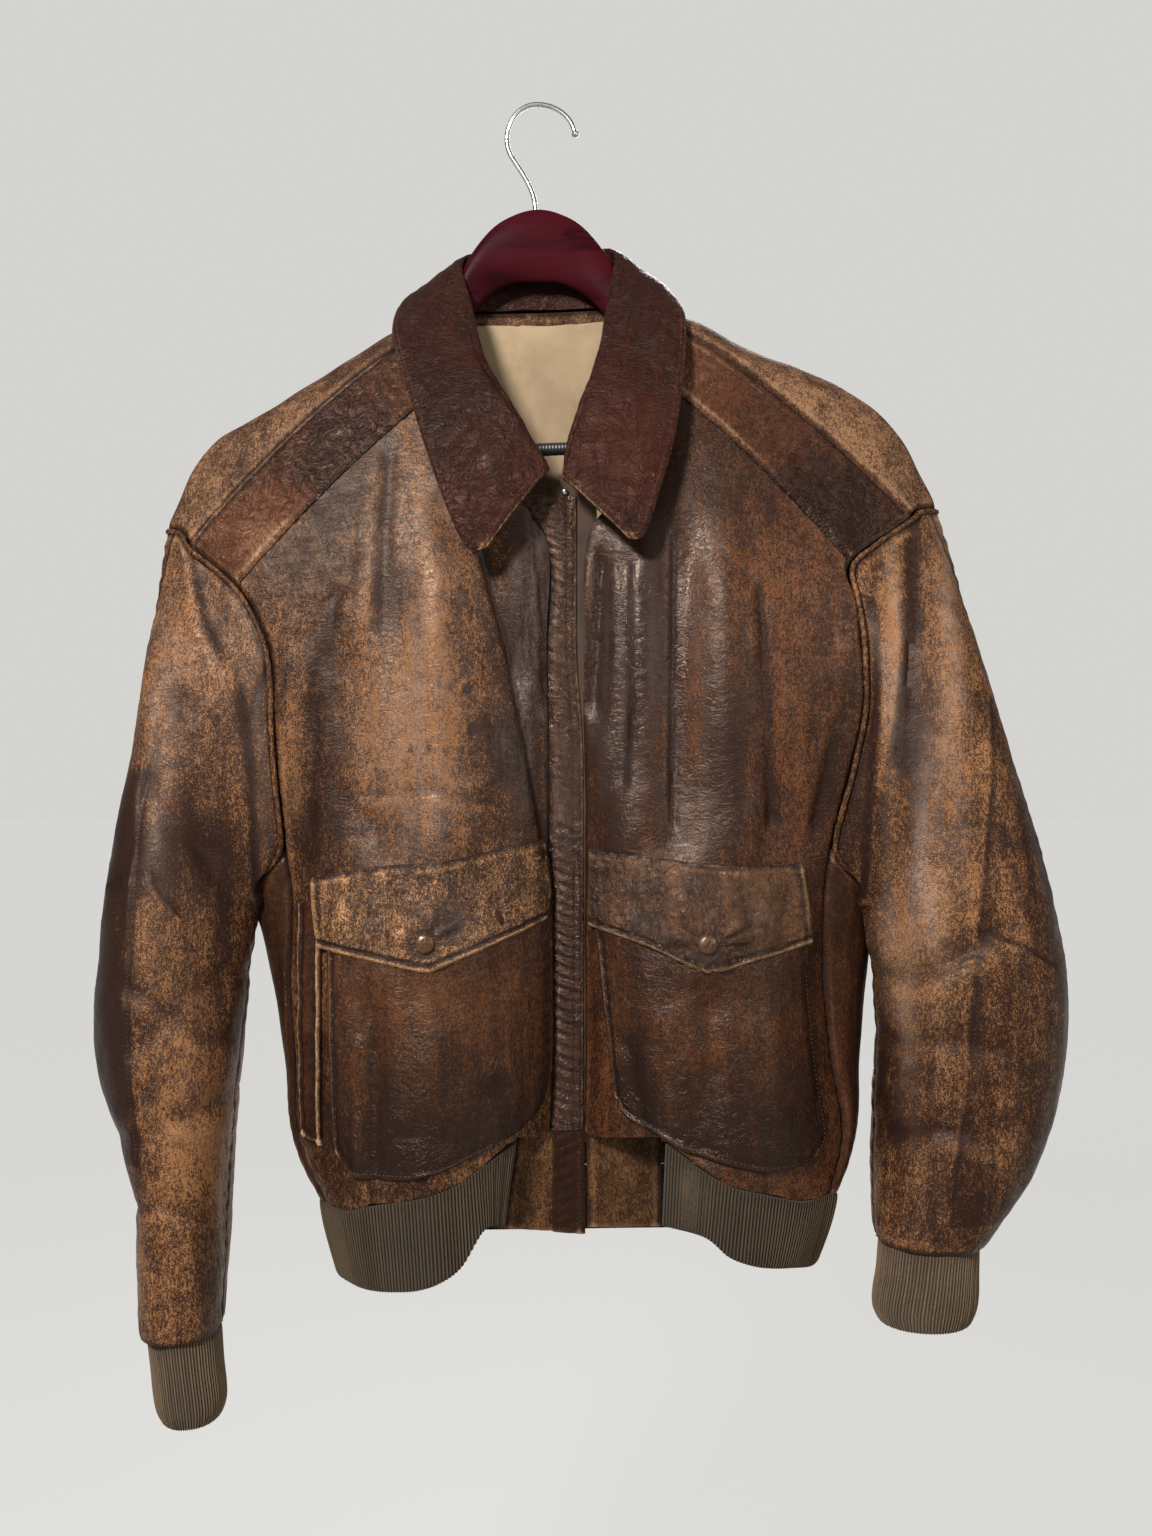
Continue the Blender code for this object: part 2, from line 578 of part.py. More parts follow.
def build_sleeve(sheets, side, table, finishes):
    loop, places = closed_ring_loop(sheets, side)
    points = sleeve_grid(loop, places, table, SLEEVE_RINGS)
    normals = normals_of(points, closed=True)
    outward = points - points[:, :-1].mean(axis=1, keepdims=True)
    if (normals * outward).sum() < 0:
        normals = -normals
    normals[:, -1] = normals[:, 0]
    inner = int(np.argmin(np.abs(np.array(places) - 0.5)))
    half = SEAM_GAP / 2 + 0.2
    gaps = (0, half, half, half)
    front = np.s_[:, FRONT_SEAM:inner + 1]
    shell(f"sleeve_{side}_front", drawn_in(points[front], gaps), normals[front], 0, LEATHER,
          finishes["sleeve"])
    rear_points = np.concatenate([points[:, inner:-1], points[:, :FRONT_SEAM + 1]], axis=1)
    rear_normals = np.concatenate([normals[:, inner:-1], normals[:, :FRONT_SEAM + 1]], axis=1)
    for name, rows in (("upper", slice(0, ELBOW_RING + 1)), ("lower", slice(ELBOW_RING, None))):
        gaps = (half if rows.start else 0, half, half, half)
        shell(f"sleeve_{side}_rear_{name}", drawn_in(rear_points[rows], gaps), rear_normals[rows],
              0, LEATHER, finishes["sleeve"])


def tube_grid(table, sides, rings):
    """Rings of a cuff, from its own table."""
    rows = []
    for i in range(rings + 1):
        outer_x, outer_z, inner_x, inner_z, front_y, rear_y = spline(table, (len(table) - 1) * i / rings)
        centre = np.array([(outer_x + inner_x) / 2, (front_y + rear_y) / 2, (outer_z + inner_z) / 2])
        reach = np.array([(outer_x - inner_x) / 2, 0, (outer_z - inner_z) / 2])
        depth = np.array([0, (front_y - rear_y) / 2, 0])
        rows.append([centre + reach * math.cos(2 * math.pi * j / sides)
                     + depth * math.sin(2 * math.pi * j / sides) for j in range(sides + 1)])
    return np.array(rows)


def build_cuff(side, table, finishes):
    points = tube_grid(table, CUFF_SIDES, CUFF_RINGS)
    normals = normals_of(points, closed=True)
    if (normals * (points - points[:, :-1].mean(axis=1, keepdims=True))).sum() < 0:
        normals = -normals
    normals[:, -1] = normals[:, 0]
    shell("cuff_" + side, points, normals, -KNIT, 0, finishes["knit"], closed=True)


def build_collar(sheets, finishes):
    """The collar as one sheet: up from the neck seam, over the roll line, down to its edge."""
    top = UPPER_LEVELS.index(3.3)
    left = sheets["front_left"][0][top::-1, -1]
    right = sheets["front_right"][0][:top + 1, -1]
    neck = sheets["yoke"][0][0, FRONT_COLUMNS + 1:-FRONT_COLUMNS - 1]
    seam = np.array([*left, *neck, *right])
    count = 2 * (len(seam) - 1)
    columns = []
    for i in range(count + 1):
        row = spline(COLLAR, i / 2)
        roll, edge = row[:3], row[3:]
        start = (seam[i // 2] + seam[(i + 1) // 2]) / 2
        step = roll - start
        start = start + step / np.linalg.norm(step) * COLLAR_SEAM_STEP
        share = i / count
        turn = 2 * math.pi * (3 * share**2 - 2 * share**3)
        lean = np.array([-math.sin(turn), -math.cos(turn), 0])
        column = [start + (roll - lean * ROLL_HALF - start) * v for v in (0, 1)]
        column.append(roll + np.array([0, 0, ROLL_HALF * 0.6]))
        fall = [roll + lean * ROLL_HALF + (edge - roll - lean * ROLL_HALF) * v for v in even(4)]
        column += [point + lean * FALL_SWELL * math.sin(math.pi * v) for point, v in zip(fall, even(4))]
        columns.append(column)
    points = np.array(columns).transpose(1, 0, 2)
    normals = normals_of(points)
    if normals[-3, 4] @ np.array([0, -1, 0]) < 0:
        normals = -normals
    shell("collar", points, normals, -COLLAR_WALL / 2, COLLAR_WALL / 2, finishes["glossy"])


def loft(name, rings, finish, pierced=False):
    """A closed solid through rings of points, capped at both ends or, if pierced, joined to itself."""
    sides = len(rings[0])
    vertices = [tuple(np.asarray(point) * MM) for ring in rings for point in ring]
    faces = []
    if not pierced:
        faces = [list(range(sides)), list(range(len(vertices) - 1, len(vertices) - sides - 1, -1))]
    for i in range(len(rings) if pierced else len(rings) - 1):
        after = (i + 1) % len(rings)
        for j in range(sides):
            k = (j + 1) % sides
            faces.append([i * sides + j, i * sides + k, after * sides + k, after * sides + j])
    mesh = bpy.data.meshes.new(name)
    mesh.from_pydata(vertices, [], faces)
    sheet = bmesh.new()
    sheet.from_mesh(mesh)
    bmesh.ops.recalc_face_normals(sheet, faces=sheet.faces)
    sheet.to_mesh(mesh)
    sheet.free()
    mesh.shade_smooth()
    mesh.set_sharp_from_angle(angle=math.radians(40))
    return add_object(name, mesh, finish)


def tube(name, path, radii, finish, sides=10):
    """A round bar along a path in the plane of X and Z."""
    rings = []
    for i, (point, radius) in enumerate(zip(path, radii)):
        ahead = np.array(path[min(i + 1, len(path) - 1)]) - np.array(path[max(i - 1, 0)])
        along = ahead / np.linalg.norm(ahead)
        across = np.cross(along, (0, 1, 0))
        across /= np.linalg.norm(across)
        rings.append([np.array(point) + radius * (across * math.cos(2 * math.pi * j / sides)
                      + np.array([0, 1, 0]) * math.sin(2 * math.pi * j / sides)) for j in range(sides)])
    return loft(name, rings, finish)


def wood_ring(x, y, top, height, thickness):
    ring = []
    for j in range(WOOD_SIDES):
        c, s = math.cos(2 * math.pi * j / WOOD_SIDES), math.sin(2 * math.pi * j / WOOD_SIDES)
        ring.append((x, y + c * thickness / 2, top - height / 2 + s * height / 2))
    return ring


def build_hanger(finishes):
    arms = {}
    last = len(RIDGE) - 1
    levels = (TIP_LEVEL, 1.3, 2.1, 3, 3.7)
    for side, levels in (("left", levels), ("right", [last - level for level in levels[::-1]])):
        rows = []
        for level in levels:
            x, y, z = spline(RIDGE, level)
            share = min(level, last - level) / 4
            depth = y + ARM_BACK * (1 - share) + ARM_FORWARD * share
            height = ARM_TIP_HEIGHT + (ARM_HEIGHT - ARM_TIP_HEIGHT) * share
            clearance = ARM_CLEARANCE + TIP_DROP * max(0.0, 1 - 3 * share)
            rows.append((x, depth, z - clearance, height, ARM_THICKNESS))
        arms[side] = rows
    tips = []
    for row, out in ((arms["left"][0], -1), (arms["right"][-1], 1)):
        x, y, top, height, thickness = row
        tips.append((x + out * 5, y, top - 5, height - 8, thickness * 0.55))
    stations = [tips[0], *arms["left"], *WOOD_CENTRE, *arms["right"], tips[1]]
    wood = loft("hanger_wood", [wood_ring(*station) for station in stations], finishes["wood"])
    left, right = arms["left"][1], arms["right"][-2]
    ends = []
    for x, y, top, height, _ in (left, right):
        ends.append(np.array([x, y, top - height * 0.72]))
    along = (ends[1] - ends[0]) / np.linalg.norm(ends[1] - ends[0])
    socket = tube("bar_socket", [ends[0] - along * 0.4, ends[1] + along * 0.4], (BAR_RADIUS + 0.3,) * 2,
                  finishes["rubber"], 12)
    socket.hide_render = True
    socket.display_type = "WIRE"
    cut_to(wood, socket, "DIFFERENCE")
    tube("hanger_bar", ends, (BAR_RADIUS,) * 2, finishes["rubber"], 12)
    wire = HOOK_WIRE / 2
    centre = np.array([0, 0, -HOOK_RADIUS + wire])
    path = []
    for degrees in range(12, 226, 15):
        angle = math.radians(degrees)
        reach = HOOK_OPEN_REACH if math.cos(angle) > 0 else HOOK_STEM_REACH
        path.append(centre + np.array([reach * math.cos(angle), 0, HOOK_RADIUS * math.sin(angle)]))
    stem = np.array([HOOK_STEM_X, 0, WOOD_TOP + SEAM_GAP])
    bend = path[-1]
    for v in (0.25, 0.5, 0.75, 1.0):
        ease = math.sin(v * math.pi / 2)
        path.append(np.array([bend[0] + (stem[0] - bend[0]) * ease, 0, bend[2] + (stem[2] - bend[2]) * v]))
    path.insert(0, path[0] + np.array([0.6, 0, -2.2]))
    path.insert(0, path[0] + np.array([0.5, 0, -1.8]))
    radii = [1.3, 2.6, 2.2] + [wire] * (len(path) - 3)
    tube("hanger_hook", path, radii, finishes["steel"])


def build_tab(name, corners, finish):
    (a, b), (c, d) = [[np.array(corner, float) for corner in row] for row in corners]
    points = np.array([[(a + (b - a) * s) * (1 - t) + (c + (d - c) * s) * t
                        for s in even(TAB_CELLS)] for t in even(TAB_CELLS)])
    shell(name, points, facing(normals_of(points), (0, -1, 0)), 0, LEATHER, finish)


def at_x(path, x):
    """The point of a path where it passes this x."""
    for a, b in zip(path, path[1:]):
        if (a[0] - x) * (b[0] - x) <= 0:
            return a + (b - a) * (x - a[0]) / (b[0] - a[0])
    raise ValueError(x)


def build_rib(sheets, finishes):
    """The knit waistband, round from one tab to the other below the leather's edge."""
    left = sheets["front_left"][0][-1][::-1]
    right = sheets["front_right"][0][-1]
    edge = [at_x(left, RIB_START), *[p for p in left if p[0] < RIB_START - 12]]
    edge += [*sheets["side_left"][0][-1][1:], *sheets["back"][0][-1][1:]]
    edge += [*sheets["side_right"][0][-1][-2::-1]]
    edge += [*[p for p in right[1:] if p[0] > RIB_END + 12], at_x(right, RIB_END)]
    edge = np.array(edge)
    middle = edge.mean(axis=0)
    rows = []
    for share in even(RIB_ROWS):
        row = edge + (middle - edge) * np.array([RIB_PULL, RIB_PULL * 2, 0]) * share
        outside = np.clip((np.abs(edge[:, 0] - middle[0]) - RIB_ROUND_START) / RIB_ROUND_REACH, 0, 1)
        row[:, 2] -= KNIT_DROP + (RIB_HEIGHT - RIB_ROUND_RISE * outside**2) * share
        row[:, 0] -= np.sign(edge[:, 0] - middle[0]) * RIB_ROUND_IN * outside * share**2
        row[0, 0] -= RIB_TAB_SLANT * share
        rows.append(row)
    points = np.array(rows)
    normals = normals_of(points)
    if (normals * (points - middle)).sum() < 0:
        normals = -normals
    shell("hem_rib", points, normals, -0.4, KNIT - 0.4, finishes["knit"])


def add_placket(sheets):
    """The flap between the fronts' edges; it shares its seam with the left front."""
    inner = sheets["front_left"][0][PLACKET_TOP:, -1]
    other = sheets["front_right"][0][PLACKET_TOP:, -1]
    xs, zs = zip(*PLACKET_EDGE)
    rows = []
    for a, b in zip(inner, other):
        right_x = float(np.interp(-a[2], [-z for z in zs], xs))
        edge = np.array([right_x, (a[1] + b[1]) / 2, a[2]])
        row = [a + (edge - a) * s - np.array([0, PLACKET_BOW * math.sin(math.pi * s), 0])
               for s in even(PLACKET_CELLS)]
        rows.append(row)
    points = np.array(rows)
    normals = facing(normals_of(points), (0, -1, 0))
    share_seam(sheets["front_left"][1][PLACKET_TOP:, -1], normals[:, 0])
    sheets["placket"] = [points, normals]


def build_centre(sheets, finishes):
    points, normals = sheets["placket"]
    shell("placket", drawn_in(points, (0, 1.5, SEAM_GAP, 0)), normals, 0, LEATHER, finishes["glossy"])
    other = sheets["front_right"][0][PLACKET_TOP:, -1]
    tape = [[np.array([x, TAPE_TOP_Y, TAPE_TOP_Z]) for x in TAPE_TOP]]
    for a, b in zip(points[:, 0], other):
        depth = max(a[1], b[1]) + SEAM_GAP + 0.2
        tape.append([np.array([x, depth, a[2]]) for x in ZIP_TAPE])
    tape = np.array(tape)
    shell("zip_tape", drawn_in(tape, (8, 1, 0, 0)), facing(normals_of(tape), (0, -1, 0)),
          -ZIP_TAPE_WALL, 0, finishes["side"])


def build_lining(sheets, finishes):
    neck = np.s_[YOKE_ROWS.index(0.5):, FRONT_COLUMNS:FRONT_COLUMNS + NECK_COLUMNS + 1]
    points, normals = sheets["yoke"]
    shell("lining_neck", drawn_in(points[neck], (1, 0.2, 0.2, 0.2)), normals[neck],
          -LINING_GAP - LINING_WALL, -LINING_GAP, finishes["lining"])
    coarse = np.s_[::2, 1:-1:2]
    points, normals = sheets["back"]
    shell("lining_back", points[coarse], normals[coarse], -LINING_GAP - LINING_WALL, -LINING_GAP,
          finishes["lining"])


def turned(name, centre, axis, profile, finish, pierced=False):
    """A round piece standing on a panel: this profile turned about the panel's normal."""
    axis = axis / np.linalg.norm(axis)
    across = np.cross(axis, (1, 0, 0))
    across /= np.linalg.norm(across)
    along = np.cross(axis, across)
    rings = []
    for radius, height in profile:
        ring = []
        for j in range(TURNED_SIDES):
            angle = 2 * math.pi * j / TURNED_SIDES
            ring.append(centre + axis * height
                        + radius * (across * math.cos(angle) + along * math.sin(angle)))
        rings.append(ring)
    return loft(name, rings, finish, pierced)


def on_panel(sheet, x, z):
    """The point and normal of a front, on its own faces, at this x and z."""
    points, normals = sheet
    for i in range(len(points) - 1):
        for j in range(points.shape[1] - 1):
            for second, third in (((i + 1, j), (i + 1, j + 1)), ((i + 1, j + 1), (i, j + 1))):
                corners = [(i, j), second, third]
                a, b, c = [points[corner][[0, 2]] for corner in corners]
                u, v = np.linalg.solve(np.array([b - a, c - a]).T, np.array([x, z]) - a)
                if u >= 0 and v >= 0 and u + v <= 1:
                    weights = (1 - u - v, u, v)
                    return [sum(w * values[corner] for w, corner in zip(weights, corners))
                            for values in (points, normals)]
    raise ValueError((x, z))


def build_hardware(sheets, finishes):
    for side, place in (("left", CAP_LEFT), ("right", CAP_RIGHT)):
        point, normal = on_panel([part[UNDERARM:] for part in sheets["front_" + side]], *place)
        turned("snap_" + side, point + normal * (FLAP_OUT + LEATHER + SEAM_GAP), normal, CAP_PROFILE,
               finishes["glossy"])
        points, normals = sheets["side_" + side]
        column, row = EYELET_PLACE
        first, share = int(column), column % 1
        point, normal = [sum(values[i, first + j] * (1 - abs(row - i)) * (1 - abs(share - j))
                             for i in (0, 1) for j in (0, 1)) for values in (points, normals)]
        turned("eyelet_" + side, point + normal * (LEATHER + SEAM_GAP), normal, EYELET_PROFILE,
               finishes["dark_metal"], pierced=True)
    x, z = STUD_PLACE
    turned("collar_stud", np.array([x, TAPE_TOP_Y - SEAM_GAP - 0.2, z]), np.array([0, -1, 0]),
           STUD_PROFILE, finishes["steel"])


def main():
    for old in list(bpy.data.objects):
        bpy.data.objects.remove(old, do_unlink=True)
    finishes = {
        "front": material("front_leather", (0.30, 0.17, 0.10), 0.45),
        "side": material("side_leather", (0.25, 0.10, 0.06), 0.45),
        "back": material("back_leather", (0.33, 0.22, 0.14), 0.6),
        "glossy": material("glossy_leather", (0.10, 0.03, 0.03), 0.3),
        "pocket": material("pocket_leather", (0.20, 0.09, 0.06), 0.4),
        "sleeve": material("sleeve_leather", (0.36, 0.20, 0.10), 0.5),
        "knit": material("ribbed_knit", (0.20, 0.13, 0.08), 0.9),
        "wood": material("stained_wood", (0.22, 0.03, 0.02), 0.35),
        "steel": material("hook_steel", (0.55, 0.55, 0.55), 0.3, 1.0),
        "dark_metal": material("eyelet_metal", (0.05, 0.05, 0.05), 0.35, 1.0),
        "rubber": material("bar_rubber", (0.02, 0.02, 0.02), 0.6),
        "lining": material("cotton_lining", (0.30, 0.24, 0.15), 0.95),
        "flap": material("flap_leather", (0.24, 0.12, 0.07), 0.4),
    }
    sheets = make_torso()
    add_placket(sheets)
    build_torso(sheets, finishes)
    build_collar(sheets, finishes)
    build_rib(sheets, finishes)
    build_centre(sheets, finishes)
    build_lining(sheets, finishes)
    build_tab("tab_left", TAB_LEFT, finishes["back"])
    build_tab("tab_right", TAB_RIGHT, finishes["back"])
    build_hardware(sheets, finishes)
    build_hanger(finishes)
    build_cuff("left", CUFF_LEFT, finishes)
    build_cuff("right", CUFF_RIGHT, finishes)
    build_sleeve(sheets, "left", SLEEVE_LEFT, finishes)
    build_sleeve(sheets, "right", SLEEVE_RIGHT, finishes)


main()
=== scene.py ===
"""The worn leather jacket on its hanger, dressed: fine cloth shells on the forms of the solids.

Frame as packed: origin at the hook's inside top, +X to the viewer's right, the front faces -Y.
Tables are in millimetres. "Left" and "right" are the viewer's.
"""
import math

import bmesh
import bpy
import numpy as np
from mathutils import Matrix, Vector
from mathutils.bvhtree import BVHTree


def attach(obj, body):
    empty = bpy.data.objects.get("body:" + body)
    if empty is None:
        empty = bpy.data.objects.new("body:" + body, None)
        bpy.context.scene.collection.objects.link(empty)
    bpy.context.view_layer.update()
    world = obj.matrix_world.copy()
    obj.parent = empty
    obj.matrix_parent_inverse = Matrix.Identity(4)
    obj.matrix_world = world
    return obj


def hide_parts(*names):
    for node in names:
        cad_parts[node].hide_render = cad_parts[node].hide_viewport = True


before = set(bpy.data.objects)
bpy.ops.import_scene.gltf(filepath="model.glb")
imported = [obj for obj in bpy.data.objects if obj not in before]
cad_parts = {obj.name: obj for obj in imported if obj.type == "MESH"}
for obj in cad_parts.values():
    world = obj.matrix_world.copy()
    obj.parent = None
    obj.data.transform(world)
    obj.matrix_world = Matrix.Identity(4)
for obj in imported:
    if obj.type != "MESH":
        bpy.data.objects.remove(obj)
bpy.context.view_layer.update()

# The solids' own sizes and tables.
MM = 0.001
SEAM_GAP = 0.3            # between neighbouring panels, and between layers
LEATHER = 1.5             # wall of a leather panel
KNIT = 2.4                # wall of the ribbed knit
COLLAR_WALL = 2.0
LINING_WALL = 0.9
LINING_GAP = 0.7          # behind the leather
BACK_SLACK, NECK_SLACK = 4.2, 2.2   # how much further in the linings hang here

# Grids. Levels are positions along a table: 1.5 is half way from its second row to its third.
FRONT_COLUMNS = 10
SIDE_COLUMNS = 4
BACK_COLUMNS = 13         # half as many as the yoke
NECK_COLUMNS = 6          # between the rows of NECKLINE
YOKE_ROWS = (0, 0.25, 0.43, 0.5, 0.57, 0.75, 1)   # the middle one runs along the ridge
UPPER_LEVELS = (0, 0.5, 1, 1.75, 2.5, 3.3, 4.2, 5.1, 6)   # of the fronts, down to the underarm
LOWER_ROWS = 9            # grid rows from the underarm to the waist seam
UNDERARM = len(UPPER_LEVELS) - 1
FRONT_LEVELS = list(UPPER_LEVELS) + [6 + 5 * i / LOWER_ROWS for i in range(1, LOWER_ROWS + 1)]
BACK_LEVELS = [0, 1, 2, 3, 4] + [4 + 4 * i / LOWER_ROWS for i in range(1, LOWER_ROWS + 1)]
SLEEVE_RINGS = 10
SLEEVE_SQUARENESS = 0.9   # of its section: 1 is an ellipse
ARMHOLE_GAP = 0.03        # start of the sleeve, as a share of the way to its first section
UNDERARM_STEP = 8.0       # between the sleeve's underside and the side panel, at the underarm
FRONT_SEAM = 1            # place in the ring of the seam down the outer side
ELBOW_RING = 6            # ring of the seam across the rear of the sleeve
CUFF_SIDES = 16
CUFF_RINGS = 4

# Fronts. outer = armhole, then side seam; inner = neckline, then front edge;
# crown = how far the middle of the section stands out; sag = how far it hangs below its ends.
# Columns: outer x, y, z; inner x, y, z; crown; sag.
FRONT_LEFT = (
    (-232, -42, -313, -94, -30, -177, 3, -8),
    (-196, -57, -343, -78, -46, -222, 4, -4),
    (-180, -62, -369, -56, -58, -254, 7, 0),
    (-172, -65, -395, -22, -62, -276, 10, 2),
    (-171, -66, -431, 8, -64, -308, 13, 2),
    (-168, -64, -471, 9, -64, -378, 18, 0),
    (-165, -58, -517, 10, -62, -444, 26, 0),
    (-160, -58, -550, 10, -61, -506, 34, 2),
    (-161, -59, -603, 12, -60, -570, 42, 4),
    (-158, -60, -655, 12, -59, -632, 47, 6),
    (-154, -62, -706, 11, -57, -678, 49, 8),
    (-134, -74, -744, 10, -56, -702, 44, 8),
)
FRONT_RIGHT = (
    (250, -50, -295, 99, -30, -165, 3, -8),
    (207, -62, -328, 93, -46, -211, 4, -4),
    (212, -66, -356, 84, -56, -252, 7, 0),
    (214, -69, -384, 58, -61, -282, 10, 2),
    (216, -70, -417, 35, -63, -312, 13, 2),
    (208, -68, -459, 34, -63, -378, 18, 0),
    (195, -60, -515, 33, -61, -444, 24, 0),
    (190, -60, -556, 34, -60, -506, 32, 2),
    (190, -60, -603, 34, -59, -570, 40, 4),
    (194, -61, -652, 34, -58, -632, 45, 6),
    (202, -63, -702, 34, -56, -678, 47, 8),
    (190, -76, -738, 33, -55, -702, 43, 6),
)
# Side panels: the silhouette point of each section from the underarm down; their front edge is
# the front's outer edge and their rear edge is the back's.
# Columns: x, y, z.
SIDE_LEFT = (
    (-193, -40, -546), (-184, -38, -568), (-175, -37, -612),
    (-167, -38, -658), (-159, -42, -712), (-141, -48, -747),
)
SIDE_RIGHT = (
    (226, -42, -548), (223, -39, -572), (220, -38, -612),
    (217, -39, -658), (213, -43, -708), (198, -50, -743),
)
# Back: left and right edges of each section, from the yoke seam down.
# Columns: left x, y, z; right x, y, z; crown; sag.
BACK = (
    (-244, -4, -344, 266, -4, -330, 12, -52),
    (-222, 2, -394, 246, 2, -380, 9, -26),
    (-204, 2, -448, 236, 2, -440, 8, -10),
    (-192, -4, -500, 226, -4, -498, 10, 0),
    (-183, -12, -532, 219, -12, -530, 16, 4),
    (-176, -14, -570, 215, -14, -570, 18, 4),
    (-165, -14, -640, 209, -14, -640, 17, 2),
    (-154, -14, -706, 203, -14, -704, 15, 2),
    (-137, -20, -744, 190, -20, -740, 18, 4),
)
# Yoke: its front seam is the top of the fronts and this neckline, its rear seam the top of the
# back, and between them it arches over this ridge, the line of the hanger's arms.
NECKLINE = (
    (-94, -30, -177), (-84, -6, -148), (-62, 9, -143), (2, 12, -141),
    (68, 9, -139), (88, -6, -141), (99, -30, -165),
)
RIDGE = (
    (-249, -30, -300), (-224, -25, -247), (-181, -19, -217), (-140, -13, -189), (-100, -8, -163),
    (-86, 4, -154), (-63, 14, -152), (3, 16, -153), (69, 14, -149), (92, 4, -148),
    (108, -8, -154), (152, -14, -178), (196, -21, -197), (240, -29, -230), (270, -34, -287),
)
NECK_START, NECK_END = 4, 10   # rows of RIDGE beside the neck

# Sleeves below the armhole: outer and inner silhouette points, front and rear reach.
# Columns: outer x, z; inner x, z; front y; rear y.
SLEEVE_LEFT = (
    (-259, -374, -199, -558, -70, 6),
    (-268, -455, -201, -574, -82, 12),
    (-282, -530, -201, -598, -92, 15),
    (-288, -592, -200, -630, -98, 14),
    (-289, -645, -200, -664, -101, 9),
    (-277, -690, -202, -700, -102, 2),
    (-260, -732, -204, -738, -104, -10),
    (-256, -780, -203, -782, -108, -24),
    (-251, -825, -204, -824, -112, -42),
)
SLEEVE_RIGHT = (
    (294, -372, 232, -560, -74, 4),
    (316, -452, 234, -578, -86, 10),
    (339, -530, 234, -604, -95, 13),
    (350, -592, 232, -636, -100, 12),
    (350, -650, 229, -672, -102, 7),
    (337, -704, 226, -708, -103, -2),
    (316, -740, 224, -742, -104, -14),
    (291, -771, 225, -769, -106, -28),
)
CUFF_LEFT = (
    (-249, -825.3, -203, -824.3, -111, -47),
    (-245, -852, -200, -852, -112, -54),
    (-243, -868, -198, -868, -112, -56),
    (-238, -880, -202, -880, -108, -60),
)
CUFF_RIGHT = (
    (290, -771.3, 226, -769.3, -106, -31),
    (288, -794, 222, -794, -108, -44),
    (287, -808, 219, -808, -108, -48),
    (282, -821, 224, -821, -104, -52),
)
# Collar: roll line and outer edge of each section, left front end to right front end. Its neck
# seam follows the necklines of the fronts and the yoke.
# Columns: roll x, y, z; edge x, y, z.
COLLAR = (
    (9, -81, -271, -30, -92, -322),
    (-7, -78, -247, -42, -93, -322),
    (-20, -71, -224, -54, -90, -300),
    (-34, -60, -202, -68, -82, -262),
    (-43, -42, -177, -82, -64, -219),
    (-53, -17, -136, -97, -36, -168),
    (-57, 0, -112, -88, -2, -136),
    (-42, 14, -102, -60, 24, -158),
    (2, 19, -98, 2, 30, -172),
    (44, 14, -99, 66, 24, -154),
    (59, 0, -106, 90, -2, -132),
    (57, -18, -130, 101, -38, -158),
    (50, -42, -176, 98, -64, -206),
    (42, -60, -206, 91, -80, -250),
    (33, -70, -230, 80, -90, -288),
    (25, -77, -256, 71, -93, -314),
    (20, -81, -277, 61, -92, -316),
)
# Folds: ends of each trough on its panel, in x and z; width of its slope and depth inwards
# (negative depth is a ridge).
# Columns: top x, z; bottom x, z; width; depth.
FOLDS = (
    (-36, -318, -14, -400, 11, 8),
    (-14, -400, 6, -512, 10, 7),
    (-66, -330, -58, -500, 18, -5),
    (-120, -400, -100, -500, 16, 4),
    (44, -330, 38, -424, 9, 6),
    (62, -345, 60, -500, 10, -4),
    (98, -320, 92, -505, 14, 5),
    (128, -360, 134, -500, 18, -5),
    (-100, -620, -98, -715, 10, 4),
    (-62, -640, -66, -720, 12, -4),
    (112, -620, 106, -710, 10, 4),
    (150, -640, 152, -715, 14, -4),
)
HEM_ROW = 8               # row of the fronts below which their sections turn up to the centre
HEM_RISE_START = 0.23     # where that turn begins, as a share of the way from the side
HEM_RISE_SHARE = 0.57
COLLAR_SEAM_STEP = 2.2    # clear of the neckline's cut edges
ROLL_HALF = 3.0           # half the width of the fold along the roll line
FALL_SWELL = 4.0          # of each leaf, between the roll line and its edge

# Pattern outlines of what lies on the fronts, in x and z, clockwise from the upper left.
POCKET_LEFT = ((-133, -540), (8, -524), (9, -600), (8, -664), (0, -688), (-12, -698),
               (-33, -706), (-60, -716), (-87, -721), (-113, -720), (-125, -708), (-128, -671))
POCKET_RIGHT = ((38, -540), (176, -540), (177, -597), (180, -640), (184, -672), (188, -698),
                (180, -712), (164, -716), (140, -715), (118, -710), (98, -705), (81, -696),
                (62, -688), (54, -674), (51, -647), (46, -607))
FLAP_LEFT = ((-143, -534), (-94, -526), (-54, -521), (3, -509), (6, -526), (8, -547), (6, -562),
             (-29, -577), (-58, -589), (-68, -592), (-105, -585), (-138, -579), (-141, -562))
FLAP_RIGHT = ((38, -515), (74, -520), (111, -525), (173, -525), (177, -553), (179, -577),
              (149, -584), (116, -592), (105, -591), (74, -577), (38, -566))
WELT_LEFT = ((-153, -552), (-137, -546), (-136, -620), (-136, -706), (-150, -702), (-152, -640))
POCKET_OUT = LEATHER + SEAM_GAP
FLAP_OUT = POCKET_OUT + LEATHER + SEAM_GAP

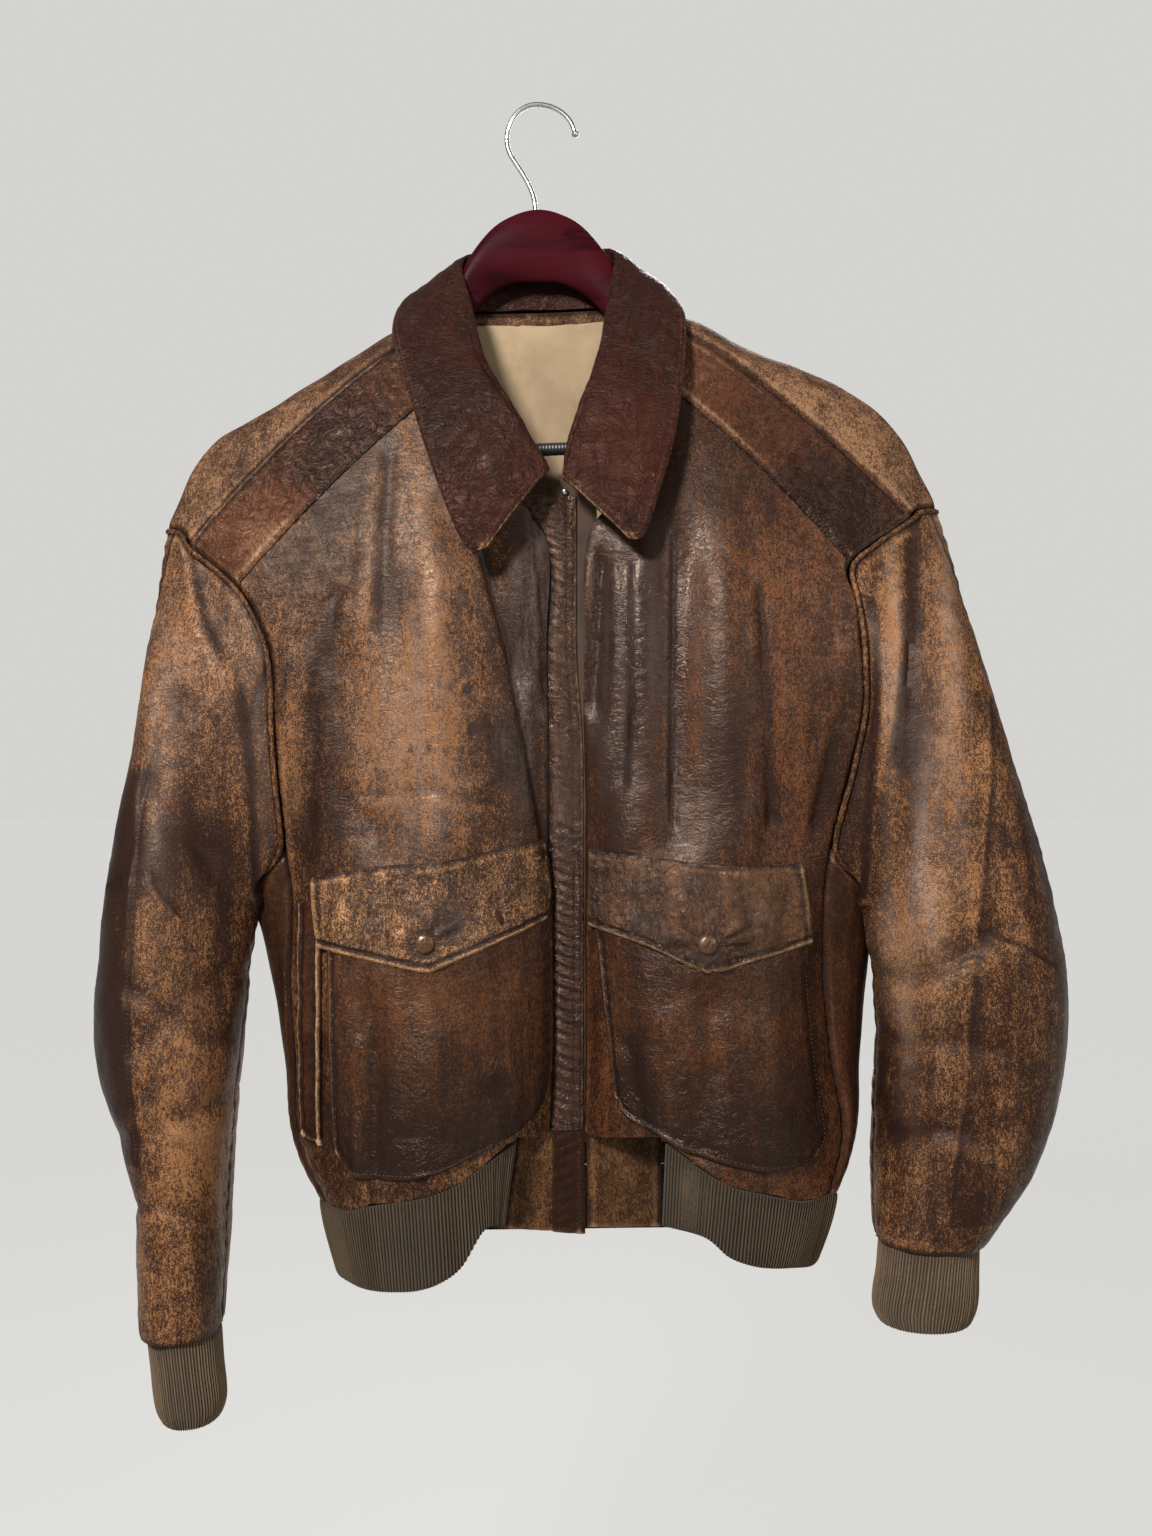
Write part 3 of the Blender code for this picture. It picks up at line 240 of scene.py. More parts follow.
# Centre front and waist.
TAB_LEFT = (((-11.3, -64, -703.0), (32.6, -57, -702.6)), ((-20.5, -57, -767), (33.3, -52, -772)))
TAB_RIGHT = (((34.2, -57, -702.6), (83.5, -61, -706.6)), ((34.6, -52, -768), (84.0, -53, -767)))
PLACKET_TAIL_X = 11                # left edge of the placket's own tail, on the left tab
RIB_START, RIB_END = -12.2, 84.5   # x of the knit's ends at the waist seam
RIB_HEIGHT = 54
RIB_ROWS = 3
RIB_ROUND_START = 120              # x from the middle where the knit's lower edge turns up
RIB_ROUND_REACH = 55
RIB_ROUND_RISE = 14
RIB_ROUND_IN = 7                   # and how far it draws in there
RIB_PULL = 0.035                   # how far the knit draws in, as a share of its reach
RIB_TAB_SLANT = 9
RIB_TAB_ROOM = 12                  # between the knit's ends and the next points of its edge
RIB_FRONT_FROM, RIB_FRONT_REACH = 6, 25   # where the front's line takes over, in y from the middle
RIB_REAR_LIFT = 11                 # of the rear's lower edge, out of sight behind the tabs
PLACKET_TOP = 5                    # grid row of the front where the placket begins
PLACKET_CELLS = 3
PLACKET_EDGE = ((27, -300), (27, -390), (31, -440), (31.8, -520), (31.6, -712))  # x by z
PLACKET_BOW = 2.0
KNIT_DROP = 0.6           # below the leather it is sewn to

# Hook: its wire bends round a centre below the origin, wider on the open side.
HOOK_WIRE = 3.4
HOOK_RADIUS = 24.0
HOOK_OPEN_REACH = 27.0
HOOK_STEM_REACH = 21.0
HOOK_STEM_X = -1.0
HOOK_ANGLES = range(12, 226, 15)
HOOK_TIP = ((-1.1, 0.5), (-1.0, 1.2), (-0.75, 1.9), (-0.4, 2.4), (0, 2.6), (0.4, 2.4), (0.75, 2.0),
            (0.95, 1.7))
HOOK_BALL = (0.5, 0, -1.9)         # from the wire's end to the middle of the ball on it
HOOK_SINK = 0.5           # of the stem's end in the wood
WOOD_TOP = -72.0
# Hanger. Wooden body, one end to the other: x, y and z of its top, its height and thickness.
WOOD_CENTRE = (
    (-80, -6, -160, 33, 10), (-66, -4, -147, 37, 11), (-56, -2, -127, 37, 12), (-48, -1, -107, 43, 12),
    (-32, 0, -86, 46, 12), (-16, 0, -76, 48, 12), (0, 0, -72, 51, 12), (16, 0, -75, 49, 12),
    (32, 0, -84, 47, 12), (48, -1, -103, 43, 12), (57, -2, -119, 38, 12), (67, -4, -140, 36, 11),
    (82, -6, -152, 33, 10),
)
ARM_HEIGHT, ARM_TIP_HEIGHT = 30, 20
ARM_THICKNESS = 10
ARM_CLEARANCE = 0.9       # below the cloth that rests on it
TIP_DROP = 10.0           # four times how much more at the tips
ARM_BACK = 1.5            # of the ridge line at the tips
ARM_FORWARD = -1.7        # of the ridge line at the neck
WOOD_SIDES = 48
WOOD_SQUARENESS = 0.85    # of its section: 1 is an ellipse
TIP_LEVEL = 1.0           # where the left arm ends on the ridge, and the right one its mirror
BAR_RADIUS = 4.6
BAR_GROOVE, BAR_STEP = 0.3, 0.55   # of its ribbed rubber sleeve; two steps to a rib
BAR_DOWN = 0.72           # its place, as a share of the arms' height

# Covered snap caps on the flaps: x and z, and the cap's radius by its height.
CAPS = {"left": (-68, -574), "right": (111, -575)}
CAP_PROFILE = ((6.0, 0), (6.4, 0.4), (6.2, 1.3), (5.6, 2.0), (4.4, 2.6), (2.6, 2.9), (0.6, 3.0))
CAP_SIDES = 32
CAP_OUT = 0.3             # above the flap

# Creases on the fronts: ends in x and z, width of the slope, depth inwards (negative is a ridge).
CREASES_FRONT = {
    "left": (
        (0, -288, 5, -330, 4, 1.6), (5, -330, 5, -418, 4, 1.6), (-22, -330, -6, -400, 5, 1.4),
        (-120, -330, -150, -380, 8, 1.6), (-60, -345, -64, -420, 12, -1.2), (-90, -350, -88, -470, 14, 1.2),
        (-40, -420, -24, -505, 9, 1.4), (-150, -430, -152, -520, 9, 1.6), (-130, -470, -100, -510, 7, 1.2),
    ),
    "right": (
        (44, -327, 39, -421, 5, 2.0), (34, -340, 34, -430, 4, -1.4), (60, -330, 58, -470, 6, 1.5),
        (72, -340, 74, -480, 9, -1.2), (100, -330, 92, -480, 8, 1.6), (120, -340, 124, -440, 10, -1.2),
        (150, -360, 140, -470, 9, 1.4), (196, -420, 186, -500, 7, 1.6), (175, -440, 150, -505, 7, 1.4),
    ),
}
CREASES_BACK = (
    (-150, -420, -120, -640, 16, 3.0), (190, -420, 170, -640, 16, 3.0), (-60, -400, -40, -700, 22, 2.0),
    (90, -420, 80, -700, 22, 2.0), (20, -460, 24, -720, 18, -1.6), (-170, -560, -60, -600, 10, 1.6),
    (205, -560, 110, -590, 10, 1.6), (-120, -700, 150, -690, 12, 1.6),
)
CREASES_LAID = {
    "pocket_left": ((-108, -640, -110, -728, 5, -2.2), (-97, -640, -99, -728, 5, 1.6),
                    (-50, -600, -20, -640, 9, 1.2),
                    (-80, -690, -20, -700, 9, 1.0)),
    "pocket_right": ((62, -640, 78, -725, 5, 2.0), (178, -600, 184, -700, 6, 1.6),
                     (90, -600, 140, -612, 8, 1.0)),
    "flap_left": ((-90, -540, -94, -575, 5, 1.4), (-30, -535, -24, -560, 5, 1.2),
                  (-120, -545, -124, -580, 5, -1.0)),
    "flap_right": ((78, -545, 88, -575, 4, 1.8), (100, -540, 98, -560, 4, 1.6),
                   (134, -540, 140, -574, 4, 1.8),
                   (160, -545, 156, -575, 4, 1.6), (66, -550, 74, -562, 4, 1.4)),
}
CREASES_SLEEVE = {
    "left": ((-236, -420, -262, -520, 9, 3.0), (-270, -420, -280, -560, 12, -2.0),
             (-210, -600, -250, -640, 8, 2.5), (-206, -680, -262, -700, 8, 2.5)),
    "left_rear": ((-240, -470, -280, -560, 12, 3.0), (-210, -600, -280, -620, 9, 2.5)),
    "right": ((250, -320, 244, -460, 7, 3.0), (268, -330, 270, -480, 12, -2.0),
              (240, -600, 300, -560, 9, 2.5), (236, -700, 310, -680, 9, 2.5)),
    "right_rear": ((250, -470, 320, -560, 12, 3.0), (240, -640, 320, -640, 9, 2.5)),
}
# Folds: a line of x and z, its width and depth, the step in beyond it, and the painted shade along it
# (negative is a painted highlight).
FOLDS_FRONT = {
    "left": (
        (((-35, -320), (-18, -385), (-6, -441), (-3, -458), (7, -518)), 2.6, 2.8, 2.2, 0.8),
        (((0, -288), (4, -334), (7, -374), (7, -414)), 2.2, 1.6, 0.6, 0.35),
        (((-128, -350), (-143, -420), (-146, -500)), 5, 1.4, 0, 0.15),
        (((-30, -442), (-22, -470), (-34, -478)), 2, 1.2, 0, 0.3),
        (((-42, -438), (-33, -436), (-25, -427)), 0.9, 0.8, 0, 0.8),
        (((-85, -451), (-64, -450), (-44, -452)), 0.8, 0.6, 0, 0.7),
        (((-63, -409), (-50, -412), (-36, -411)), 0.8, 0.6, 0, 0.7),
        (((-96, -256), (-97, -320), (-99, -371)), 5, 1.6, 0, 0.3),
        (((-60, -286), (-50, -340), (-48, -400)), 7, 1.3, 0, 0.08),
        (((-110, -480), (-70, -476), (-30, -484)), 3, 0.9, 0, 0.25),
    ),
    "right": (
        (((44, -327), (40, -380), (38, -421)), 3, 2.0, 0.8, 0.5),
        (((60, -330), (60, -400), (57, -470)), 4, 1.4, 0, 0.2),
        (((92, -311), (91, -400), (90, -500)), 2.6, 2.0, 0, 0.5),
        (((147, -344), (151, -420), (153, -496)), 4, 1.5, 0, 0.3),
        (((40, -441), (50, -443), (59, -448)), 0.9, 0.8, 0, 0.6),
        (((49, -344), (64, -344), (79, -347)), 0.9, 0.8, 0, 0.6),
        (((140, -493), (153, -491), (166, -496)), 0.9, 0.8, 0, 0.6),
        (((200, -430), (192, -465), (183, -500)), 4, 1.6, 0, 0.25),
    ),
}
FOLDS_SLEEVE = {
    "left": (
        (((-232, -318), (-219, -360), (-210, -379), (-203, -392), (-195, -413), (-190, -436), (-189, -457),
          (-189, -497), (-190, -547)), 2.2, 3.0, 4.5, 0.6, 60),
        (((-174, -389), (-182, -412), (-190, -433)), 2.0, 1.6, 0, 0.5),
        (((-276, -540), (-262, -533), (-246, -532), (-228, -556)), 1.6, 2.0, 0, 0.5),
        (((-262, -600), (-240, -612), (-206, -640)), 5, 1.4, 0, 0.12),
        (((-250, -470), (-236, -500), (-214, -520)), 7, 1.6, 0, 0.1),
        (((-262, -680), (-240, -672), (-214, -690)), 5, 1.4, 0, 0.12),
        (((-256, -745), (-236, -738), (-212, -748)), 4, 1.5, 0, 0.15),
    ),
    "right": (
        (((223, -549), (223, -503), (224, -457), (225, -405), (221, -353)), 2.2, 2.4, 4.5, 0.6, 60),
        (((253, -290), (251, -359), (244, -412), (239, -458)), 3.5, 2.4, 0, 0.45),
        (((241, -313), (236, -359), (233, -425), (228, -474)), 3.0, -1.6, 0, -0.3),
        (((242, -425), (262, -437), (282, -452)), 3.0, 1.2, 0, 0.15),
        (((278, -497), (292, -499), (304, -503)), 1.5, 1.4, 0, 0.5),
        (((240, -600), (262, -590), (300, -566)), 6, 1.8, 0, 0.1),
        (((236, -640), (262, -636), (296, -640)), 6, 1.8, 0, 0.1),
        (((232, -700), (256, -690), (290, -700)), 5, 1.6, 0, 0.15),
    ),
}
# Seams on the sleeves' fronts: line, darkening beyond it, and the side that is beyond.
SEAMS_SLEEVE = {
    "left": ((((-252, -466), (-254, -479), (-255.5, -531), (-256, -607), (-254, -663), (-250, -714)),
              0.45, -1),),
    "right": ((((300, -418), (298, -465), (291.6, -511), (285.5, -565), (280, -614), (274, -675), (267, -724),
                (263.7, -752)), 0.2, 1),
              (((289, -566), (312, -577), (335, -590)), 0.0, 1)),
}
# Seams at the upper and lower ends of the sleeves' pieces.
SLEEVE_ENDS = {
    "front": (("top", 1.0, 0.6, 10, 9, 17), ("bottom", 1.0, 1.0, 9, 14, 18)),
    "rear_upper": (("top", 1.0, 0.6, 10, 9, 16), ("bottom", 1.0, 0.5, 12, 8, 14)),
    "rear_lower": (("top", 1.0, 0.5, 12, 8, 14), ("bottom", 1.0, 1.0, 9, 14, 15)),
}
# The box and cross sewn on the right shoulder strip's lower end.
CROSS_STITCHES = (((171, -288), (206, -318)), ((183, -277), (194, -331)), ((171, -288), (183, -277)),
                  ((168, -292), (190, -334)), ((190, -273), (214, -300)), ((178, -300), (203, -297)))
CLOSE_ARMPIT = 6.0        # how far the sleeves' fronts lap over the armholes' lower ends
# Marks: centre x and z, reach in x and z, darkening, wear, shine. Most paint the leather's own tone and wear;
# some are painted light and shade: lighter marks with shine on ridges that catch the light, and dark streaks
# beside folds.
SPOTS_FRONT = {
    "left": (
        (-137, -292, 30, 42, 0.42, 0, 0), (-76, -430, 30, 105, -0.32, 0.22, 0.6),
        (-136, -440, 18, 90, 0.28, 0, 0),
        (-23, -447, 13, 20, 0.5, 0, 0.2), (-2, -380, 15, 110, 0.5, 0, 0.5), (-100, -250, 60, 30, 0.1, 0, 0.2),
        (-60, -300, 30, 40, -0.1, 0.1, 0.2), (-93, -350, 12, 30, 0.35, 0, 0),
        (-95, -500, 60, 16, 0.18, 0, 0), (-160, -470, 12, 60, -0.1, 0.2, 0),
    ),
    "right": (
        (66, -390, 34, 120, 0.42, 0, 0.7), (165, -400, 30, 110, -0.12, 0.1, 0),
        (120, -430, 14, 90, 0.2, 0, 0.2),
        (120, -270, 60, 40, 0.15, 0, 0), (190, -460, 14, 60, 0.15, 0, 0), (105, -400, 7, 90, -0.25, 0.1, 0.8),
    ),
}
SPOTS_BACK = (
    (25, -330, 130, 70, -0.15, 0.12, 0.2), (-60, -500, 40, 120, 0.25, 0, 0), (130, -520, 50, 100, 0.2, 0, 0),
    (40, -650, 120, 40, 0.35, 0, 0.2), (20, -480, 30, 150, -0.2, 0.1, 0.3),
)
SPOTS_YOKE = ((-180, -190, 50, 60, 0, 0.15, 0), (200, -250, 60, 60, -0.15, 0.15, 0))
SPOTS_EPAULET = (
    (-182, -312, 26, 26, -0.9, 0.5, -0.4), (-120, -262, 44, 44, 0.25, 0, 0.2),
    (-72, -216, 26, 30, -0.35, 0.15, 0),
    (84, -205, 40, 40, -0.9, 0.5, 0), (132, -245, 30, 30, -0.2, 0.2, 0.4), (190, -296, 34, 34, 0.75, 0, 0.3),
)
SPOTS_LAID = {
    "pocket_left": ((-60, -722, 80, 44, 0.5, 0, 0.3), (-60, -610, 60, 26, -0.25, 0.1, 0),
                    (-112, -680, 7, 50, -0.2, 0.1, 0.8), (-26, -664, 7, 7, 0.6, 0, 0)),
    "pocket_right": ((120, -720, 70, 44, 0.55, 0, 0.4), (120, -620, 60, 28, -0.2, 0.1, 0.2),
                     (62, -690, 12, 60, 0.3, 0, 0.3)),
    "flap_left": ((-57, -562, 9, 10, 0.7, 0, 0), (-45, -568, 22, 22, -0.1, 0, 0.7),
                  (-140, -560, 14, 30, -0.15, 0.15, 0)),
    "flap_right": ((112, -565, 30, 26, 0, 0, 0.9), (170, -560, 16, 26, -0.2, 0.2, 0)),
}
SPOTS_SLEEVE = {
    "left": ((-240, -520, 40, 26, 0.5, 0, 0), (-250, -400, 36, 60, -0.1, 0.05, 0.1),
             (-244, -460, 9, 100, -0.1, 0.05, 0.3), (-180, -460, 12, 90, 0.1, 0, 0.2),
             (-215, -700, 26, 40, -0.2, 0.2, 0),
             (-225, -640, 20, 80, -0.1, 0.1, 0.1), (-300, -620, 16, 60, 0.2, 0, 0)),
    "right": ((272, -400, 8, 100, -0.3, 0.1, 0.8), (256, -520, 8, 70, -0.35, 0.1, 1.0),
              (246, -430, 8, 50, 0.5, 0, 0),
              (236, -390, 5, 80, -0.4, 0.2, 0.9), (242, -600, 6, 80, -0.2, 0.1, 0.6),
              (212, -470, 10, 60, 0.5, 0, 0), (300, -500, 22, 90, -0.25, 0.1, 0),
              (236, -680, 14, 60, 0.3, 0, 0), (290, -690, 30, 40, -0.15, 0.2, 0),
              (256, -500, 10, 40, 0.3, 0, 0)),
}
SPOTS_COLLAR = ((70, -260, 26, 40, -0.45, 0, 0), (-70, -200, 30, 40, 0.2, 0, 0.3))
# The view: where the camera stands, and its focal length and middle in pixels of 1152 x 1536.
VIEW_X, VIEW_Z = 27.3, -462.7
VIEW_DISTANCE = 1050
VIEW_FOCAL = 1500
VIEW_CENTRE = (576, 768)
# Lines that the hems hang to, in the view's pixels.
HEM_LINE = {
    "left": ((325, 1200), (358, 1204), (402, 1202), (433, 1194), (464, 1180), (484, 1164), (504, 1145),
             (517, 1137)),
    "right": ((662, 1137), (691, 1160), (723, 1184), (754, 1192), (784, 1196), (825, 1192)),
}
KNIT_LINE = ((335, 1270), (351, 1284), (382, 1292), (413, 1292), (443, 1282), (460, 1268), (470, 1254),
             (479, 1230),
             (502, 1228), (660, 1225), (690, 1228), (703, 1236), (719, 1249), (735, 1262), (764, 1268),
             (805, 1267),
             (825, 1260))
BACK_LIFT = 6.5           # of the back's lower edge, out of sight behind the tabs
HEM_REACH = 120           # how far above the edge a panel follows it
HEM_SIDE_SHARE, HEM_FRONT_SHARE = 0.22, 0.06   # of its width, over which the line takes hold
RIB_PITCH = 2.3
RIB_RELIEF, CUFF_RELIEF = 0.65, 0.6
RIB_SHADE = -0.9          # painted light and shade of the ribs' crests against their furrows
CUFF_DRAWN = 0.5          # how far the cuffs draw in
GATHER_PITCH = 7.3        # of the shoulder strips
PUCKER_PITCH = 7.2        # of the placket
ARMPIT_FULL = 8.0         # how much fuller the sleeve lies beside the armpit



def spline(table, t):
    """The row at position t along the table, on a smooth curve through its rows."""
    rows = np.asarray(table, float)
    last = len(rows) - 1
    i = min(int(t), last - 1)
    f = t - i
    before = rows[i - 1] if i else 2 * rows[0] - rows[1]
    after = rows[i + 2] if i + 2 <= last else 2 * rows[last] - rows[last - 1]
    a, b = rows[i], rows[i + 1]
    ma, mb = (b - before) / 2, (after - a) / 2
    return ((2 * f**3 - 3 * f**2 + 1) * a + (f**3 - 2 * f**2 + f) * ma
            + (3 * f**2 - 2 * f**3) * b + (f**3 - f**2) * mb)


def arch(start, top, end, s):
    """A half ellipse from start over top to end."""
    middle = (start + end) / 2
    return middle + (start - end) / 2 * math.cos(math.pi * s) + (top - middle) * math.sin(math.pi * s)


def over_ridge(front, ridge, rear, v):
    """From the front seam up to the ridge, level over it, and down to the rear seam."""
    if v <= 0.5:
        angle = math.pi * v
        rise, reach = math.sin(angle), 1 - math.cos(angle)
        return front + (ridge - front) * np.array([reach, reach, rise])
    angle = math.pi * (v - 0.5)
    reach, drop = math.sin(angle), 1 - math.cos(angle)
    return ridge + (rear - ridge) * np.array([drop, reach, drop])


def beside(x, z, x0, z0, x1, z1):
    """How far a place lies along a line from its start, across it, and beyond its ends."""
    run, rise = x1 - x0, z1 - z0
    length = math.hypot(run, rise)
    along = ((x - x0) * run + (z - z0) * rise) / length
    across = ((x - x0) * rise - (z - z0) * run) / length
    return along, across, np.maximum(np.maximum(-along, along - length), 0)


def fold_depth(x, z):
    """How far the folds push the cloth in at this place."""
    total = 0.0
    for *line, width, depth in FOLDS:
        _, across, beyond = beside(x, z, *line)
        total += depth * math.exp(-(across / width) ** 2 - (beyond / (1.5 * width)) ** 2)
    return total


def front_point(table, t, s):
    """A front's point at level t, this share of the way from its outer to its inner edge."""
    row = spline(table, t)
    outer, inner, crown, sag = row[:3], row[3:6], row[6], row[7]
    swell = math.sin(math.pi * s) ** 0.8 if 0 < s < 1 else 0.0
    point = outer + (inner - outer) * s
    rise = min(max((s - HEM_RISE_START) / HEM_RISE_SHARE, 0.0), 1.0)
    low = min(max((t - HEM_ROW) / (len(table) - 1 - HEM_ROW), 0.0), 1.0)
    point[2] += (inner[2] - outer[2]) * (rise * rise * (3 - 2 * rise) - s) * low
    point[1] -= crown * swell
    point[2] -= sag * swell
    point[1] += fold_depth(point[0], point[2]) * min(1.0, 4 * s * (1 - s) + 0.15)
    return point


def back_point(t, s):
    """The back's point at level t, this share of the way from left to right."""
    row = spline(BACK, t)
    left, right, crown, sag = row[:3], row[3:6], row[6], row[7]
    swell = math.sin(math.pi * s) if 0 < s < 1 else 0.0
    point = left + (right - left) * s
    point[1] += crown * swell ** 0.5
    point[2] += -sag * swell
    return point


def grid(point, rows, columns):
    return np.array([[point(t, s) for s in columns] for t in rows])


def even(count):
    """Even shares from 0 to 1."""
    return [i / count for i in range(count + 1)]


def normals_of(points, closed=False):
    """Unit normals of a grid of points, across its rows and columns."""
    down = np.gradient(points, axis=0)
    if closed:
        ring = np.concatenate([points[:, -2:-1], points, points[:, 1:2]], axis=1)
        across = np.gradient(ring, axis=1)[:, 1:-1]
    else:
        across = np.gradient(points, axis=1)
    normal = np.cross(down, across)
    return normal / np.linalg.norm(normal, axis=2, keepdims=True)


def facing(normals, direction):
    """The normals, turned round if they face away from this direction."""
    return normals if (normals @ np.array(direction, float)).sum() > 0 else -normals


def make_torso():
    """The solids' own grids of the fronts, sides, back and yoke."""
    sheets = {}
    columns = even(FRONT_COLUMNS)
    for side, table in (("left", FRONT_LEFT), ("right", FRONT_RIGHT)):
        sheets["front_" + side] = grid(lambda t, s, table=table: front_point(table, t, s),
                                       FRONT_LEVELS, columns)
    sheets["back"] = grid(back_point, BACK_LEVELS, even(BACK_COLUMNS))
    for side, table, edge in (("left", SIDE_LEFT, 0), ("right", SIDE_RIGHT, -1)):
        front = sheets["front_" + side][UNDERARM:, 0]
        rear = sheets["back"][4:, edge]
        outline = [spline(table, 5 * i / LOWER_ROWS) for i in range(LOWER_ROWS + 1)]
        sheets["side_" + side] = np.array([[arch(a, o, b, s) for s in even(SIDE_COLUMNS)]
                                           for a, o, b in zip(front, outline, rear)])
    levels = [NECK_START * i / FRONT_COLUMNS for i in range(FRONT_COLUMNS)]
    levels += [NECK_START + i for i in range(NECK_COLUMNS)]
    levels += [NECK_END + 4 * i / FRONT_COLUMNS for i in range(FRONT_COLUMNS + 1)]
    ridge = [spline(RIDGE, level) for level in levels]
    neck = [np.array(row, float) for row in NECKLINE[1:-1]]
    front = [*sheets["front_left"][0], *neck, *sheets["front_right"][0][::-1]]
    top = sheets["back"][0]
    rear = [(top[i // 2] + top[(i + 1) // 2]) / 2 for i in range(2 * BACK_COLUMNS + 1)]
    sheets["yoke"] = np.array([[over_ridge(a, r, b, v) for a, r, b in zip(front, ridge, rear)]
                               for v in YOKE_ROWS])
    return sheets


def add_placket(sheets):
    """The flap between the fronts' edges; it shares its seam with the left front."""
    inner = sheets["front_left"][PLACKET_TOP:, -1]
    other = sheets["front_right"][PLACKET_TOP:, -1]
    xs, zs = zip(*PLACKET_EDGE)
    rows = []
    for a, b in zip(inner, other):
        right_x = float(np.interp(-a[2], [-z for z in zs], xs))
        edge = np.array([right_x, (a[1] + b[1]) / 2, a[2]])
        row = [a + (edge - a) * s - np.array([0, PLACKET_BOW * math.sin(math.pi * s), 0])
               for s in even(PLACKET_CELLS)]
        rows.append(row)
    sheets["placket"] = np.array(rows)


def closed_ring_loop(sheets, side):
    """The armhole's points and their place round it: 0 over the shoulder, a half at the underarm."""
    column = 0 if side == "left" else -1
    yoke = sheets["yoke"][:, column]
    front = sheets["front_" + side][:UNDERARM + 1, 0]
    under = sheets["side_" + side][0]
    back = sheets["back"][:5, column]
    top, bottom = YOKE_ROWS.index(0.5), SIDE_COLUMNS // 2
    down = [*yoke[top::-1], *front[1:], *under[1:bottom + 1]]
    up = [*under[bottom:], *back[-2::-1], *yoke[-2:top - 1:-1]]
    points, places = [], []
    for half, base in ((down, 0.0), (up, 0.5)):
        steps = [0.0] + [float(np.linalg.norm(b - a)) for a, b in zip(half, half[1:])]
        travelled = np.cumsum(steps) / sum(steps)
        points += half[:-1]
        places += [base + distance / 2 for distance in travelled[:-1]]
    return np.array(points + points[:1]), places + [1.0]


def section(outer_x, outer_z, inner_x, inner_z, front_y, rear_y):
    """The centre, reach and depth of a sleeve's or cuff's section."""
    centre = np.array([(outer_x + inner_x) / 2, (front_y + rear_y) / 2, (outer_z + inner_z) / 2])
    reach = np.array([(outer_x - inner_x) / 2, 0, (outer_z - inner_z) / 2])
    return centre, reach, np.array([0, (front_y - rear_y) / 2, 0])


def sleeve_grid(loop, places, table, rings):
    """Rings from the armhole loop down to the cuff seam."""
    out = math.copysign(1, table[0][0])
    sections = [loop.copy()]
    for point, place in zip(sections[0], places):
        point[0] += out * UNDERARM_STEP * math.sin(math.pi * place) ** 4
    for row in table:
        centre, reach, depth = section(*row)
        ring = []
        for place in places:
            c, s = math.cos(2 * math.pi * place), math.sin(2 * math.pi * place)
            round_c = math.copysign(abs(c) ** SLEEVE_SQUARENESS, c)
            round_s = math.copysign(abs(s) ** SLEEVE_SQUARENESS, s)
            ring.append(centre + reach * round_c + depth * round_s)
        sections.append(np.array(ring))
    last = len(sections) - 1
    rows = []
    for i in range(rings + 1):
        level = ARMHOLE_GAP + (last - ARMHOLE_GAP) * i / rings
        rows.append(spline(np.array(sections).reshape(last + 1, -1), level).reshape(-1, 3))
    return np.array(rows)


def tube_grid(table, sides, rings):
    """Rings of a cuff, from its own table."""
    rows = []
    for i in range(rings + 1):
        centre, reach, depth = section(*spline(table, (len(table) - 1) * i / rings))
        rows.append([centre + reach * math.cos(2 * math.pi * j / sides)
                     + depth * math.sin(2 * math.pi * j / sides) for j in range(sides + 1)])
    return np.array(rows)


def collar_grid(sheets):
    """The collar: up from the neck seam, over the roll line, down to its edge."""
    top = UPPER_LEVELS.index(3.3)
    left = sheets["front_left"][top::-1, -1]
    right = sheets["front_right"][:top + 1, -1]
    neck = sheets["yoke"][0, FRONT_COLUMNS + 1:-FRONT_COLUMNS - 1]
    seam = np.array([*left, *neck, *right])
    count = 2 * (len(seam) - 1)
    columns = []
    for i in range(count + 1):
        row = spline(COLLAR, i / 2)
        roll, edge = row[:3], row[3:]
        start = (seam[i // 2] + seam[(i + 1) // 2]) / 2
        step = roll - start
        start = start + step / np.linalg.norm(step) * COLLAR_SEAM_STEP
        share = i / count
        turn = 2 * math.pi * (3 * share**2 - 2 * share**3)
        lean = np.array([-math.sin(turn), -math.cos(turn), 0])
        column = [start + (roll - lean * ROLL_HALF - start) * v for v in (0, 1)]
        column.append(roll + np.array([0, 0, ROLL_HALF * 0.6]))
        fall = [roll + lean * ROLL_HALF + (edge - roll - lean * ROLL_HALF) * v for v in even(4)]
        column += [point + lean * FALL_SWELL * math.sin(math.pi * v) for point, v in zip(fall, even(4))]
        columns.append(column)
    return np.array(columns).transpose(1, 0, 2)


def at_x(path, x):
    """The point of a path where it passes this x."""
    for a, b in zip(path, path[1:]):
        if (a[0] - x) * (b[0] - x) <= 0:
            return a + (b - a) * (x - a[0]) / (b[0] - a[0])
    raise ValueError(x)


def height_on(line, points):
    """The heights that put these points on a line of the view's pixels."""
    scale = (VIEW_DISTANCE + points[:, 1]) / VIEW_FOCAL
    across = VIEW_CENTRE[0] + (points[:, 0] - VIEW_X) / scale
    return VIEW_Z - (np.interp(across, *np.transpose(line)) - VIEW_CENTRE[1]) * scale


